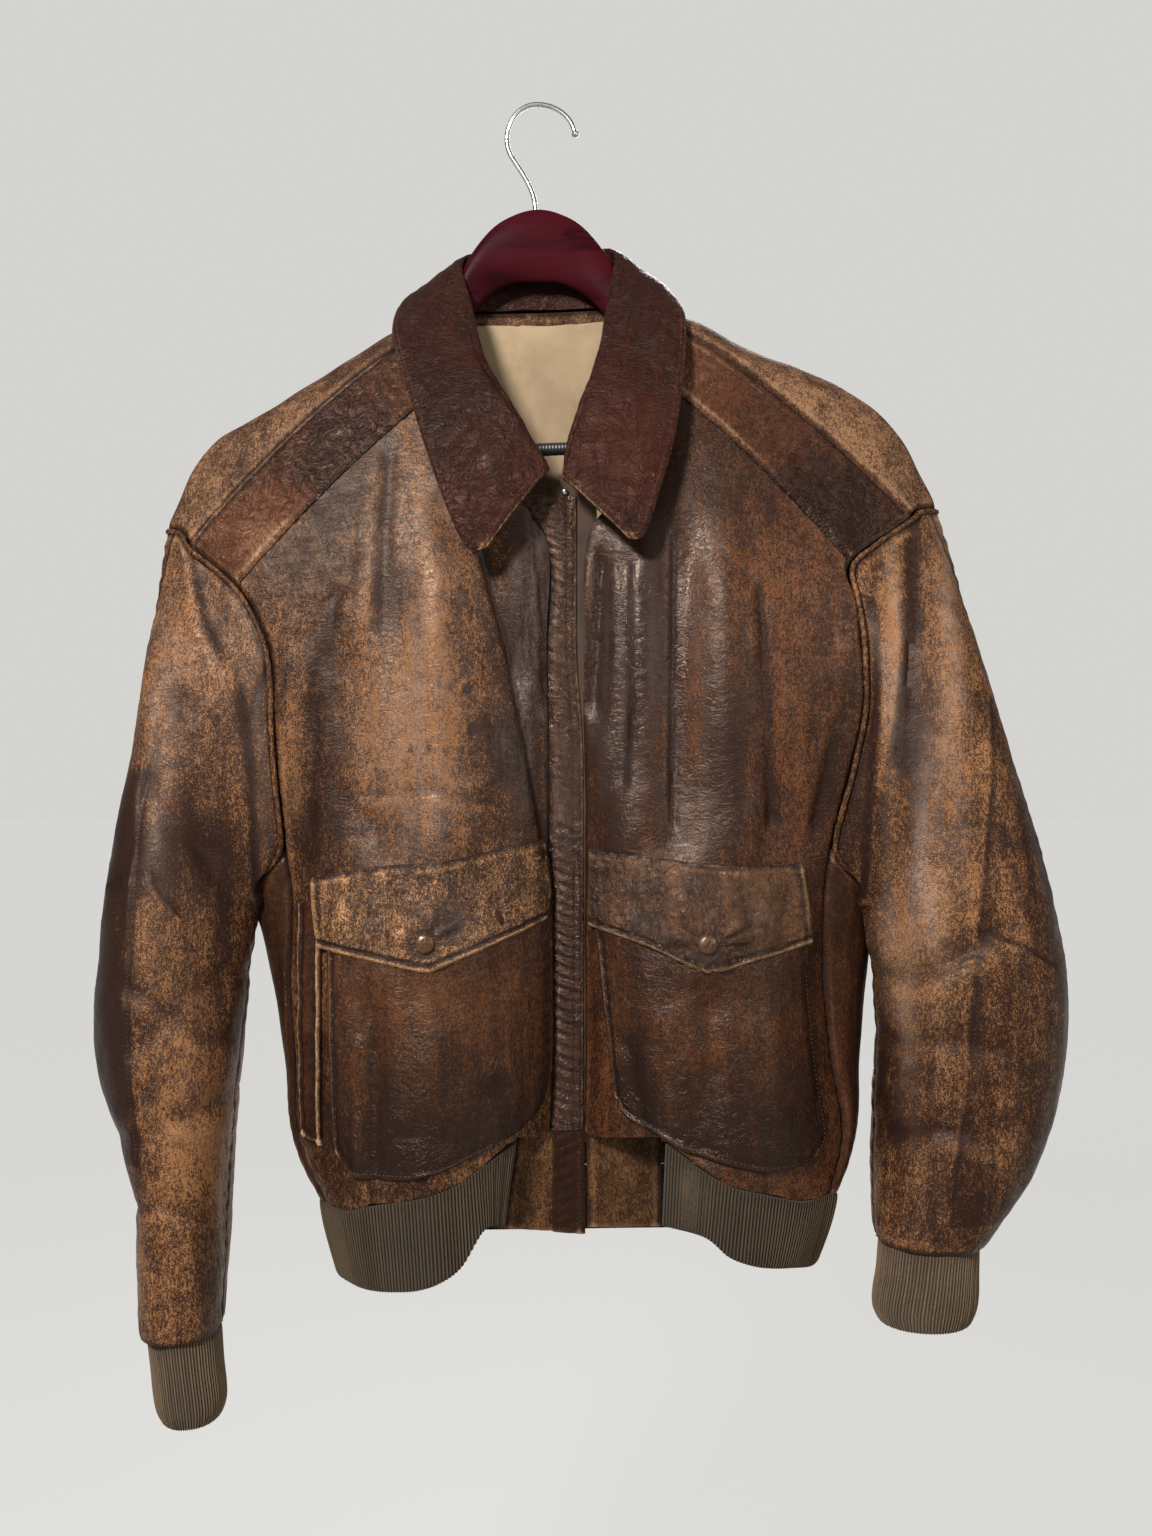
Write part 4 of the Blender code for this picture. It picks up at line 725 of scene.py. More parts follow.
def rib_grid(sheets):
    """The knit waistband, round from one tab to the other below the leather's edge."""
    left = sheets["front_left"][-1][::-1]
    right = sheets["front_right"][-1]
    edge = [at_x(left, RIB_START), *[p for p in left if p[0] < RIB_START - RIB_TAB_ROOM]]
    edge += [*sheets["side_left"][-1][1:], *sheets["back"][-1][1:]]
    edge += [*sheets["side_right"][-1][-2::-1]]
    edge += [*[p for p in right[1:] if p[0] > RIB_END + RIB_TAB_ROOM], at_x(right, RIB_END)]
    edge = np.array(edge)
    middle = edge.mean(axis=0)
    rows = []
    for share in even(RIB_ROWS):
        row = edge + (middle - edge) * np.array([RIB_PULL, RIB_PULL * 2, 0]) * share
        outside = np.clip((np.abs(edge[:, 0] - middle[0]) - RIB_ROUND_START) / RIB_ROUND_REACH, 0, 1)
        row[:, 2] -= KNIT_DROP + (RIB_HEIGHT - RIB_ROUND_RISE * outside**2) * share
        row[:, 0] -= np.sign(edge[:, 0] - middle[0]) * RIB_ROUND_IN * outside * share**2
        row[0, 0] -= RIB_TAB_SLANT * share
        front = np.clip((middle[1] + RIB_FRONT_FROM - edge[:, 1]) / RIB_FRONT_REACH, 0, 1)
        front *= np.clip((1.15 - outside) / 0.3, 0, 1)
        wanted = height_on(KNIT_LINE, row)
        lowest = edge[:, 2] - KNIT_DROP - (RIB_HEIGHT - RIB_ROUND_RISE * outside**2)
        row[:, 2] += (wanted - lowest) * front * share
        row[:, 2] += RIB_REAR_LIFT * (1 - front) * np.clip(1 - outside, 0, 1) * share
        rows.append(row)
    return np.array(rows)


# Fine grids.
SEAM_STITCH = 3.4         # from a seam to its stitches, and between the two rows of a double one
STRIP_STITCH = 2.6        # on the shoulder strips and flaps
EDGE_STITCH = 3.0         # on the pockets and tabs
PLACKET_STITCH = 5.5
COLLAR_STITCH = 5.2
FINE = 10                 # fine cells in each cell of the solids' grids, down the panels
FRONT_FINE = 76           # columns
BACK_FINE = 150
SIDE_FINE = 26
YOKE_FINE = 7
YOKE_DOWN = 40            # rows from its front seam to its rear one
LAID_ROWS, LAID_COLUMNS = 64, 62
TAB_ROWS, TAB_COLUMNS = 60, 44
RING_FINE = 6
SLEEVE_FINE = 13
BAR_SIDES = 14
WELT_SIDES = 8
RIPPLE_WAVES = 7


def weights(count, times, closed):
    """How much each of the grid's points gives to each fine point, on smooth curves through them."""
    span = count - 1
    made = np.zeros((span * times + 1, count))
    for k in range(span * times + 1):
        i = min(k // times, span - 1)
        f = k / times - i
        share = ((-f + 2 * f**2 - f**3) / 2, (2 - 5 * f**2 + 3 * f**3) / 2,
                 (f + 4 * f**2 - 3 * f**3) / 2, (f**3 - f**2) / 2)
        for step, w in zip((-1, 0, 1, 2), share):
            j = i + step
            if closed:
                made[k, j % span] += w
            elif j < 0:
                made[k, 0] += 2 * w
                made[k, 1] -= w
            elif j > span:
                made[k, span] += 2 * w
                made[k, span - 1] -= w
            else:
                made[k, j] += w
    return made


def refine(points, rows, columns, closed=False):
    """The grid with this many cells for each of its own, on a smooth surface through its points."""
    down = weights(points.shape[0], rows, False)
    across = weights(points.shape[1], columns, closed)
    return np.einsum("ri,cj,ijk->rck", down, across, points)


def between(levels, times):
    """The levels with this many steps from each to the next."""
    made = [a + (b - a) * i / times for a, b in zip(levels, levels[1:]) for i in range(times)]
    return made + [levels[-1]]


MARKS = ("tone", "wear", "shine")   # what the materials read at each point


class Panel:
    """A fine grid with its normals and each point's distance from the grid's four edges, in mm."""

    def __init__(self, points, toward=None, closed=False, outward=False):
        self.points = points
        self.closed = closed
        normals = normals_of(points, closed)
        if outward:
            middle = points[:, :-1].mean(axis=1, keepdims=True)
            normals = normals if (normals * (points - middle)).sum() > 0 else -normals
        else:
            normals = facing(normals, toward)
        if closed:
            normals[:, -1] = normals[:, 0]
        self.normals = normals
        for name in ("relief", *MARKS):
            setattr(self, name, np.zeros(points.shape[:2]))
        self.measure()

    def measure(self):
        """Each point's distance from the four edges."""
        across, down = [np.linalg.norm(np.diff(self.points, axis=axis), axis=2) for axis in (1, 0)]
        self.first = np.pad(np.cumsum(across, axis=1), ((0, 0), (1, 0)))
        self.last = self.first[:, -1:] - self.first
        self.top = np.pad(np.cumsum(down, axis=0), ((1, 0), (0, 0)))
        self.bottom = self.top[-1:] - self.top

    @property
    def x(self):
        return self.points[..., 0]

    @property
    def z(self):
        return self.points[..., 2]

    def part(self, rows, columns):
        """A piece of this panel, with its own edges."""
        other = Panel.__new__(Panel)
        other.closed = False
        for name in ("points", "normals", "relief", *MARKS):
            setattr(other, name, getattr(self, name)[rows, columns].copy())
        other.measure()
        return other

    def outer(self, lift):
        return self.points + self.normals * (self.relief[..., None] + lift)


def bump(distance, width):
    """1 at no distance, falling smoothly to nothing."""
    return np.exp(-(distance / width) ** 2)


def ripple(points, size, seed, stretch=(1, 1, 1)):
    """Smooth uneven waves about this many mm long, from -1 to 1."""
    random = np.random.default_rng(seed)
    total = np.zeros(points.shape[:2])
    for _ in range(RIPPLE_WAVES):
        way = random.normal(size=3)
        way *= np.array(stretch) / np.linalg.norm(way)
        total += np.sin(points @ way * 2 * math.pi / size / random.uniform(0.7, 1.4)
                        + random.uniform(0, 2 * math.pi))
    return total / math.sqrt(RIPPLE_WAVES * 2)


def along_edge(panel, edge):
    """Distance from an edge and along it, over the whole panel."""
    away = getattr(panel, edge)
    run = panel.first if edge in ("top", "bottom") else panel.top
    return away, run


def add_seam(panel, edge, depth, pucker, pitch, reach, seed):
    """A turned seam: the leather rolls in at the edge and puckers beside it."""
    away, run = along_edge(panel, edge)
    panel.relief -= depth * bump(away, 1.7)
    panel.relief -= 0.3 * depth * bump(away - 3.4, 0.9)
    phase = 2 * math.pi * run / pitch + 1.9 * np.sin(run / 29 + seed) + 1.3 * np.sin(run / 13 + 2 * seed)
    strength = 0.65 + 0.35 * np.sin(run / 37 + 3 * seed)
    panel.relief += pucker * strength * np.sin(phase) * np.exp(-away / reach) * (1 - bump(away, 1.5))
    panel.tone += 0.45 * bump(away, 2.2)
    panel.wear += 0.35 * bump(away - 4.5, 2.0)


def add_edge(panel, edge, round_off=0.8, wear=0.5):
    """A folded free edge, rounded and worn."""
    away = getattr(panel, edge)
    panel.relief -= round_off * bump(away, 1.2)
    panel.wear += wear * bump(away, 3.0)


def add_troughs(panel, table, facing_y=-1):
    """Creases from a table: ends in x and z, width of the slope and depth inwards."""
    side = np.clip(0.5 + 1.6 * facing_y * panel.normals[..., 1], 0, 1)
    for *line, width, depth in table:
        along, across, beyond = beside(panel.x, panel.z, *line)
        across = across + 0.12 * width * np.sin(along / (0.9 * width) + line[0])
        shape = np.exp(-np.abs(across / width) ** 1.6 - (beyond / (1.2 * width)) ** 2) * side
        panel.relief -= depth * shape
        # Painted shade in the troughs, and painted light on the ridges (negative depth).
        panel.tone += 0.05 * depth * shape


def add_fold(panel, path, width, depth, step=0.0, tone=0.25, fade=22):
    """A crease along a line of x and z: a trough with painted shade along it, and beyond it (to the right,
    looking down) a step in.
    """
    best = np.full(panel.relief.shape, 1e9)
    signed = np.zeros(panel.relief.shape)
    end = np.zeros(panel.relief.shape)
    for k, (start, stop) in enumerate(zip(path, path[1:])):
        _, across, over = beside(panel.x, panel.z, *start, *stop)
        away = np.hypot(across, over)
        near = away < best
        best = np.where(near, away, best)
        signed = np.where(near, -across, signed)
        tip = over if k in (0, len(path) - 2) else 0
        end = np.where(near, tip, end)
    front = np.clip(0.5 - 2 * panel.normals[..., 1], 0, 1) * np.exp(-(end / (0.4 * fade)) ** 2)
    panel.relief -= depth * bump(best, width) * front
    panel.relief -= step * front * np.where(signed > 0, np.exp(-signed / fade) * (1 - bump(signed, width)), 0)
    panel.relief += 0.35 * depth * bump(signed + 2.2 * width, 1.3 * width) * front * bump(end, 1)
    # Painted shade along the crease line.
    panel.tone += tone * bump(best, 0.9 * width) * front
    panel.wear += 0.2 * bump(signed + 2 * width, width) * front


def add_spots(panel, table):
    """Marks: centre x and z, reach in x and z, darkening, wear, shine; some of them are painted highlights
    and painted shade.
    """
    for x, z, reach_x, reach_z, tone, wear, shine in table:
        shape = np.exp(-((panel.x - x) / reach_x) ** 2 - ((panel.z - z) / reach_z) ** 2)
        panel.tone += tone * shape
        panel.wear += wear * shape
        panel.shine += shine * shape


def quads_of(index):
    """The faces between the rows and columns of a grid of point numbers."""
    a, b, c, d = index[:-1, :-1], index[1:, :-1], index[1:, 1:], index[:-1, 1:]
    return np.stack([a, b, c, d], axis=-1).reshape(-1, 4)


def placed(name, data):
    """A new object in the scene."""
    made = bpy.data.objects.new(name, data)
    bpy.context.scene.collection.objects.link(made)
    return made


def skin(name, panel, lift, wall, finish):
    """The panel as a closed shell, its outer side carrying the relief."""
    rows, columns = panel.points.shape[:2]
    outer = panel.outer(lift + wall)
    inner = panel.outer(lift)
    used = columns - 1 if panel.closed else columns
    count = rows * used
    points = np.concatenate([outer[:, :used].reshape(-1, 3), inner[:, :used].reshape(-1, 3)]) * MM
    index = np.arange(count).reshape(rows, used)
    if panel.closed:
        index = np.concatenate([index, index[:, :1]], axis=1)
    quads = quads_of(index)
    middle = (rows // 2, used // 2)
    here = outer[middle[0], middle[1]]
    turn = np.cross(outer[middle[0] + 1, middle[1]] - here, outer[middle[0], middle[1] + 1] - here)
    flipped = turn @ panel.normals[middle] < 0
    if flipped:
        quads = quads[:, ::-1]
    faces = [quads, quads[:, ::-1] + count]
    edges = [index[0], index[-1][::-1]]
    if not panel.closed:
        edges += [index[:, -1], index[::-1, 0]]
    for line in edges:
        strip = np.stack([line[:-1], line[1:], line[1:] + count, line[:-1] + count], axis=-1)
        faces.append(strip[:, ::-1] if flipped else strip)
    mesh = bpy.data.meshes.new(name)
    mesh.from_pydata(points.tolist(), [], np.concatenate(faces).tolist())
    for word in MARKS:
        values = getattr(panel, word)[:, :used].reshape(-1)
        store = mesh.attributes.new(word, "FLOAT", "POINT")
        store.data.foreach_set("value", np.concatenate([values, values]).astype(np.float32))
    mesh.shade_smooth()
    mesh.set_sharp_from_angle(angle=math.radians(55))
    mesh.materials.append(finish)
    return placed(name, mesh)


def solid(name, rings, finish, capped=True):
    """A closed loft through rings of points in mm."""
    rings = np.asarray(rings, float)
    count, sides = rings.shape[:2]
    index = np.arange(count * sides).reshape(count, sides)
    index = np.concatenate([index, index[:, :1]], axis=1)
    quads = np.stack([index[:-1, :-1], index[:-1, 1:], index[1:, 1:], index[1:, :-1]], axis=-1)
    faces = quads.reshape(-1, 4).tolist()
    if capped:
        faces += [index[0, :-1][::-1].tolist(), index[-1, :-1].tolist()]
    mesh = bpy.data.meshes.new(name)
    mesh.from_pydata((rings.reshape(-1, 3) * MM).tolist(), [], faces)
    sheet = bmesh.new()
    sheet.from_mesh(mesh)
    bmesh.ops.recalc_face_normals(sheet, faces=sheet.faces)
    sheet.to_mesh(mesh)
    sheet.free()
    mesh.shade_smooth()
    mesh.set_sharp_from_angle(angle=math.radians(50))
    mesh.materials.append(finish)
    return placed(name, mesh)


def ring_of(centre, across, up, radius, sides):
    """A circle of points round a centre."""
    angles = 2 * math.pi * np.arange(sides)[:, None] / sides
    return centre + radius * (np.cos(angles) * across + np.sin(angles) * up)


def bar(name, path, radii, finish):
    """A round bar along a path."""
    rings = []
    for i, (point, radius) in enumerate(zip(path, radii)):
        way = path[min(i + 1, len(path) - 1)] - path[max(i - 1, 0)]
        across = np.cross(way, (0, 1, 0))
        across /= np.linalg.norm(across)
        up = np.cross(across, way) / np.linalg.norm(way)
        rings.append(ring_of(point, across, up, radius, BAR_SIDES))
    return solid(name, rings, finish)


def welt(name, path, radius, finish):
    """A closed loop of round section along this path."""
    way = np.roll(path, -1, axis=0) - np.roll(path, 1, axis=0)
    way /= np.linalg.norm(way, axis=1, keepdims=True)
    out = path - path.mean(axis=0)
    out -= way * (out * way).sum(axis=1, keepdims=True)
    out /= np.linalg.norm(out, axis=1, keepdims=True)
    aside = np.cross(way, out)
    angles = 2 * math.pi * np.arange(WELT_SIDES) / WELT_SIDES
    rings = (path[:, None] + radius * (np.cos(angles)[None, :, None] * out[:, None]
                                       + np.sin(angles)[None, :, None] * aside[:, None]))
    return solid(name, np.concatenate([rings, rings[:1]]), finish, capped=False)


class Stitches:
    """Gathers rows of thread and makes them one piece."""

    def __init__(self):
        self.points = []
        self.faces = []

    def add(self, path, normals, pitch=2.9, length=2.1, radius=0.34, sink=0.1):
        path = np.asarray(path, float)
        normals = np.asarray(normals, float)
        steps = np.linalg.norm(np.diff(path, axis=0), axis=1)
        run = np.concatenate([[0], np.cumsum(steps)])
        places = np.arange(pitch, run[-1] - pitch / 2, pitch)
        spot = [np.interp(places[:, None] + np.array([-0.5, 0, 0.5]) * length, run, path[:, k])
                for k in range(3)]
        spot = np.stack(spot, axis=-1)
        lift = np.stack([np.interp(places, run, normals[:, k]) for k in range(3)], axis=-1)
        lift /= np.linalg.norm(lift, axis=1, keepdims=True)
        for (start, middle, end), up in zip(spot, lift):
            way = end - start
            size = np.linalg.norm(way)
            if size < 0.5 * length:
                continue
            across = np.cross(way / size, up)
            base = len(self.points)
            ring = [middle + up * (radius - sink), middle + across * radius - up * sink,
                    middle - up * radius, middle - across * radius - up * sink]
            self.points += [start - up * sink, *ring, end - up * sink]
            for j in range(4):
                k = (j + 1) % 4
                self.faces.append((base, base + 1 + k, base + 1 + j))
                self.faces.append((base + 5, base + 1 + j, base + 1 + k))

    def make(self, name, finish):
        mesh = bpy.data.meshes.new(name)
        mesh.from_pydata((np.array(self.points) * MM).tolist(), [], self.faces)
        mesh.shade_smooth()
        mesh.materials.append(finish)
        made = placed(name, mesh)
        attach(made, "root")
        return made


def edge_line(panel, edge, distance, lift):
    """The line on a panel at this distance from one of its edges."""
    away = getattr(panel, edge)
    grids = (panel.outer(lift), panel.normals)
    if edge in ("top", "bottom"):
        away = away.T
        grids = tuple(g.transpose(1, 0, 2) for g in grids)
    path, ups = [], []
    for values, line, up in zip(away, *grids):
        order = slice(None, None, -1) if values[0] > values[-1] else slice(None)
        if values.max() < distance:
            continue
        path.append([np.interp(distance, values[order], line[order, k]) for k in range(3)])
        ups.append([np.interp(distance, values[order], up[order, k]) for k in range(3)])
    return np.array(path), np.array(ups)


# Materials. Sizes of patterns are in metres, heights of bumps in millimetres.
INK_AND_SHADE = (0.010, 0.004, 0.003)       # the dye that stays in the pores and cracks, and the painted shade in the crinkles' grooves
PALE = (0.26, 0.15, 0.08)         # leather worn bare
PALE_RAW = (0.4, 0.25, 0.14)
PAINTED_SHEEN = (0.36, 0.28, 0.24)       # painted sheen: the pale colour of a highlight, mixed in where the shine marks are
SHEEN_TINT = (1.0, 0.76, 0.60, 1)
TONE_REACH = 0.42                 # how far the tone swings between light and dark leather
GRAIN, GRAIN_CELLS = 0.03, 700.0
LOWEST_ROUGHNESS = 0.13
THREAD_PITCH = 0.0007
WAVE_SCALE = 0.314                # of a wave texture one metre long


def node(tree, kind, sources=None, **settings):
    made = tree.nodes.new(kind)
    for key, value in settings.items():
        setattr(made, key, value)
    for key, value in (sources or {}).items():
        socket = made.inputs[key]
        if isinstance(value, bpy.types.NodeSocket):
            tree.links.new(value, socket)
        else:
            socket.default_value = value
    return made.outputs


def maths(tree, operation, first, second=0.0, third=0.0, clamp=False):
    return node(tree, "ShaderNodeMath", {0: first, 1: second, 2: third},
                operation=operation, use_clamp=clamp)[0]


def times(tree, first, second, clamp=False):
    return maths(tree, "MULTIPLY", first, second, clamp=clamp)


def summed(tree, total, parts, middle=None):
    """The total and each part's share, the part counted from this middle where one is given."""
    for value, share in parts:
        if middle is not None:
            value = maths(tree, "SUBTRACT", value, middle)
        total = maths(tree, "ADD", total, times(tree, value, share))
    return total


def noise(tree, coordinates, size, detail=3.0, roughness=0.55, distortion=0.0):
    return node(tree, "ShaderNodeTexNoise",
                {"Vector": coordinates, "Scale": 1 / size, "Detail": detail,
                 "Roughness": roughness, "Distortion": distortion})[0]


def stretched(tree, place, *scale):
    return node(tree, "ShaderNodeMapping", {"Vector": place, "Scale": scale})[0]


def step_up(tree, value, low, high):
    return node(tree, "ShaderNodeMapRange", {0: value, 1: low, 2: high, 3: 0.0, 4: 1.0},
                interpolation_type="SMOOTHSTEP")[0]


def mixed(tree, share, first, second):
    def colour(value):
        return value if isinstance(value, bpy.types.NodeSocket) else (*value, 1)
    return node(tree, "ShaderNodeMixRGB", {0: share, 1: colour(first), 2: colour(second)})[0]


def attribute(tree, word):
    return node(tree, "ShaderNodeAttribute", attribute_name=word)["Fac"]


def new_material(name):
    made = bpy.data.materials.new(name)
    made.use_nodes = True
    return made, made.node_tree, made.node_tree.nodes["Principled BSDF"]


def finish_off(tree, shader, colour, height=None, distance=MM, **constants):
    """Connects the colour and the bump, and sets the shader's constants, named with _ for a space."""
    tree.links.new(colour, shader.inputs["Base Color"])
    if height is not None:
        normal = node(tree, "ShaderNodeBump", {"Height": height, "Distance": distance, "Strength": 1.0})[0]
        tree.links.new(normal, shader.inputs["Normal"])
    for key, value in constants.items():
        shader.inputs[key.replace("_", " ")].default_value = value


def leather(name, light, dark, speckle, rough, crackle=0.0, lines=INK_AND_SHADE, pale=PALE, wrinkle=0.55,
            cell=0.0045, gloss=0.10, crinkle=0.0, painted_sheen=0.3):
    """Worn leather: two tones in soft blotches, inked speckle, fine cracks, crinkles and grain, and a painted
    sheen where the shine marks are.
    """
    made, tree, shader = new_material("leather_" + name)
    place = node(tree, "ShaderNodeTexCoord")["Object"]
    tone, wear, shine = (attribute(tree, word) for word in MARKS)
    hung = stretched(tree, place, 1, 1, 0.45)
    blotch = noise(tree, hung, 0.05, 3, 0.6, 0.5)
    streak = noise(tree, stretched(tree, place, 1, 1, 0.13), 0.009, 3, 0.6)
    patches = noise(tree, place, 0.012, 4, 0.7)
    speck = noise(tree, hung, 0.0015, 4, 0.85)
    fine = noise(tree, place, 0.0007, 2, 0.7)

    level = maths(tree, "SUBTRACT", tone, times(tree, wear, 0.45))
    level = summed(tree, level, ((blotch, 0.9), (streak, 0.8), (patches, 0.6), (speck, 0.9), (fine, 0.7)),
                   0.5)
    colour = mixed(tree, step_up(tree, level, -TONE_REACH, TONE_REACH), light, dark)
    inked = summed(tree, times(tree, fine, 0.6), ((speck, 0.6), (level, 0.22)))
    dots = step_up(tree, inked, 0.51, 0.60)
    colour = mixed(tree, times(tree, dots, speckle), colour, INK_AND_SHADE)
    bare = step_up(tree, maths(tree, "ADD", times(tree, speck, 1.2), wear), 0.9, 1.5)
    colour = mixed(tree, times(tree, bare, 0.8), colour, pale)
    # Painted sheen: where the shine marks are, the colour turns pale in speckled patches, as a highlight
    # would.
    if painted_sheen:
        sheen_mask = times(tree, shine, step_up(tree, maths(tree, "ADD", speck, streak), 0.75, 1.25))
        colour = mixed(tree, times(tree, sheen_mask, painted_sheen, True), colour, PAINTED_SHEEN)

    bent = node(tree, "ShaderNodeTexNoise", {"Vector": place, "Scale": 0.55 / cell, "Detail": 3.0})["Color"]
    moved = node(tree, "ShaderNodeMixRGB", {0: 2.2 * cell, 1: place, 2: bent}, blend_type="ADD")[0]
    cells = node(tree, "ShaderNodeTexVoronoi", {"Vector": moved, "Scale": 1 / cell},
                 feature="DISTANCE_TO_EDGE")["Distance"]
    cracks = maths(tree, "SUBTRACT", 1.0, step_up(tree, cells, 0.0, 0.11))
    cracked = times(tree, cracks, step_up(tree, patches, 0.4, 0.62))
    if crackle:
        colour = mixed(tree, times(tree, cracked, crackle), colour, lines)
    contour = noise(tree, place, 0.017, 4, 0.62, 1.1)
    groove = maths(tree, "ABSOLUTE", maths(tree, "SUBTRACT", contour, 0.5))
    groove = maths(tree, "SUBTRACT", 1.0, step_up(tree, groove, 0.0, 0.035))
    # Painted shade: the crinkles' grooves are darkened.
    if crinkle:
        colour = mixed(tree, times(tree, groove, 0.35), colour, INK_AND_SHADE)

    low, high = rough
    polish = maths(tree, "MULTIPLY_ADD", patches, high - low, low)
    polish = maths(tree, "ADD", polish, times(tree, dots, 0.06))
    polish = maths(tree, "SUBTRACT", polish, times(tree, shine, 0.22), clamp=True)
    tree.links.new(maths(tree, "MAXIMUM", polish, LOWEST_ROUGHNESS), shader.inputs["Roughness"])
    pebbles = node(tree, "ShaderNodeTexVoronoi", {"Vector": place, "Scale": GRAIN_CELLS})["Distance"]
    creases = noise(tree, stretched(tree, place, 0.6, 1, 1.35), 0.007, 5, 0.62, 1.8)
    height = summed(tree, times(tree, pebbles, GRAIN),
                    ((creases, wrinkle), (cracked, -0.12), (dots, -0.02), (speck, 0.04),
                     (contour, 2 * crinkle), (groove, -0.25 * crinkle)))
    finish_off(tree, shader, colour, height, Specular_IOR_Level=gloss, Specular_Tint=SHEEN_TINT)
    return made


def knit(name, light, dark):
    """Ribbed wool: the ribs are modelled; this gives the yarn's loops and felting."""
    made, tree, shader = new_material(name)
    place = node(tree, "ShaderNodeTexCoord")["Object"]
    patches = noise(tree, place, 0.03, 4, 0.6)
    fuzz = noise(tree, place, 0.0016, 3, 0.7)
    level = summed(tree, attribute(tree, "tone"), ((patches, 1.2), (fuzz, 0.9)), 0.5)
    loops = noise(tree, stretched(tree, place, 1, 1, 2.2), 0.0022, 2, 0.6)
    finish_off(tree, shader, mixed(tree, step_up(tree, level, -0.45, 0.5), light, dark),
               summed(tree, times(tree, fuzz, 0.25), ((loops, 0.3),)),
               Roughness=0.9, Specular_IOR_Level=0.2, Sheen_Weight=0.05, Sheen_Roughness=0.5)
    return made


def woven(name, light, dark):
    """Plain cotton weave, soiled in patches."""
    made, tree, shader = new_material(name)
    place = node(tree, "ShaderNodeTexCoord")["Object"]
    soiled = step_up(tree, noise(tree, place, 0.06, 5, 0.6), 0.35, 0.72)
    threads = [node(tree, "ShaderNodeTexWave",
                    {"Vector": place, "Scale": WAVE_SCALE / THREAD_PITCH, "Distortion": 0.4},
                    bands_direction=direction)["Fac"] for direction in ("X", "Z")]
    creases = noise(tree, place, 0.03, 3, 0.5, 0.6)
    height = summed(tree, times(tree, maths(tree, "ADD", *threads), 0.05), ((creases, 1.6),))
    finish_off(tree, shader, mixed(tree, soiled, light, dark), height, Roughness=0.95)
    return made


def timber(name):
    """Mahogany-stained wood under a satin lacquer, its grain along the hanger's arms."""
    made, tree, shader = new_material(name)
    along = stretched(tree, node(tree, "ShaderNodeTexCoord")["Object"], 0.08, 1, 0.7)
    grain = noise(tree, along, 0.004, 5, 0.65, 0.8)
    broad = noise(tree, along, 0.02, 3, 0.5, 0.5)
    colour = mixed(tree, step_up(tree, broad, 0.35, 0.7), (0.030, 0.003, 0.005), (0.012, 0.0015, 0.0025))
    colour = mixed(tree, times(tree, step_up(tree, grain, 0.5, 0.7), 0.6), colour, (0.005, 0.001, 0.001))
    finish_off(tree, shader, colour, grain, 0.12 * MM, Roughness=0.3, Specular_IOR_Level=0.025)
    return made


def plain(name, colour, roughness, metallic=0.0, scratch=0.15):
    """Metal, rubber or thread with faint handling marks."""
    made, tree, shader = new_material(name)
    marks = noise(tree, node(tree, "ShaderNodeTexCoord")["Object"], 0.003, 4, 0.7)
    level = maths(tree, "MULTIPLY_ADD", marks, scratch, roughness - scratch / 2)
    tree.links.new(level, shader.inputs["Roughness"])
    shade = mixed(tree, step_up(tree, marks, 0.35, 0.75), colour, tuple(0.7 * c for c in colour))
    finish_off(tree, shader, shade, Metallic=metallic)
    return made


FRONT_FINISH = {
    "left": leather("front_left", (0.1592, 0.0697, 0.0282), (0.0196, 0.0066, 0.0025), 0.95, (0.24, 0.44), 0.6,
                    wrinkle=0.5, gloss=0.16),
    "right": leather("front_right", (0.0975, 0.0351, 0.0125), (0.0126, 0.0038, 0.0017), 0.9, (0.20, 0.40),
                     0.5,
                     gloss=0.22, painted_sheen=0.1),
}
SIDE_FINISH = leather("side", (0.060, 0.022, 0.009), (0.016, 0.006, 0.003), 0.6, (0.35, 0.55), 0.3,
                      pale=PALE_RAW)
BACK_FINISH = leather("back", (0.140, 0.063, 0.027), (0.028, 0.010, 0.005), 0.85, (0.38, 0.60), 0.5,
                      wrinkle=0.6)
YOKE_FINISH = leather("yoke", (0.1882, 0.0956, 0.0476), (0.0475, 0.0194, 0.0103), 0.8, (0.42, 0.62), 0.6,
                      (0.01, 0.01, 0.012))
EPAULET_FINISH = leather("epaulet", (0.0606, 0.0191, 0.0073), (0.0077, 0.0019, 0.0012), 0.6, (0.15, 0.30),
                         0.4,
                         wrinkle=1.4, gloss=0.18, crinkle=1.2, painted_sheen=0)
COLLAR_FINISH = leather("collar", (0.026, 0.0048, 0.0026), (0.004, 0.0010, 0.0008), 0.5, (0.17, 0.32), 0.3,
                        (0.06, 0.02, 0.012), (0.30, 0.15, 0.07), wrinkle=1.3, cell=0.0028, gloss=0.13,
                        crinkle=1.2, painted_sheen=0)
PLACKET_FINISH = leather("placket", (0.034, 0.012, 0.006), (0.007, 0.0025, 0.002), 0.5, (0.13, 0.26), 0.3,
                         pale=PALE_RAW, wrinkle=1.3, gloss=0.40, crinkle=1.0, painted_sheen=0)
SLEEVE_FINISH = leather("sleeve", (0.2023, 0.0906, 0.0364), (0.0384, 0.0137, 0.0052), 0.9, (0.28, 0.46), 0.5,
                        wrinkle=0.5, gloss=0.15, painted_sheen=0.35)
POCKET_FINISH = leather("pocket", (0.0686, 0.0237, 0.0075), (0.0084, 0.0031, 0.0014), 0.85, (0.20, 0.36), 0.4,
                        wrinkle=0.6, gloss=0.22, crinkle=0.5, painted_sheen=0)
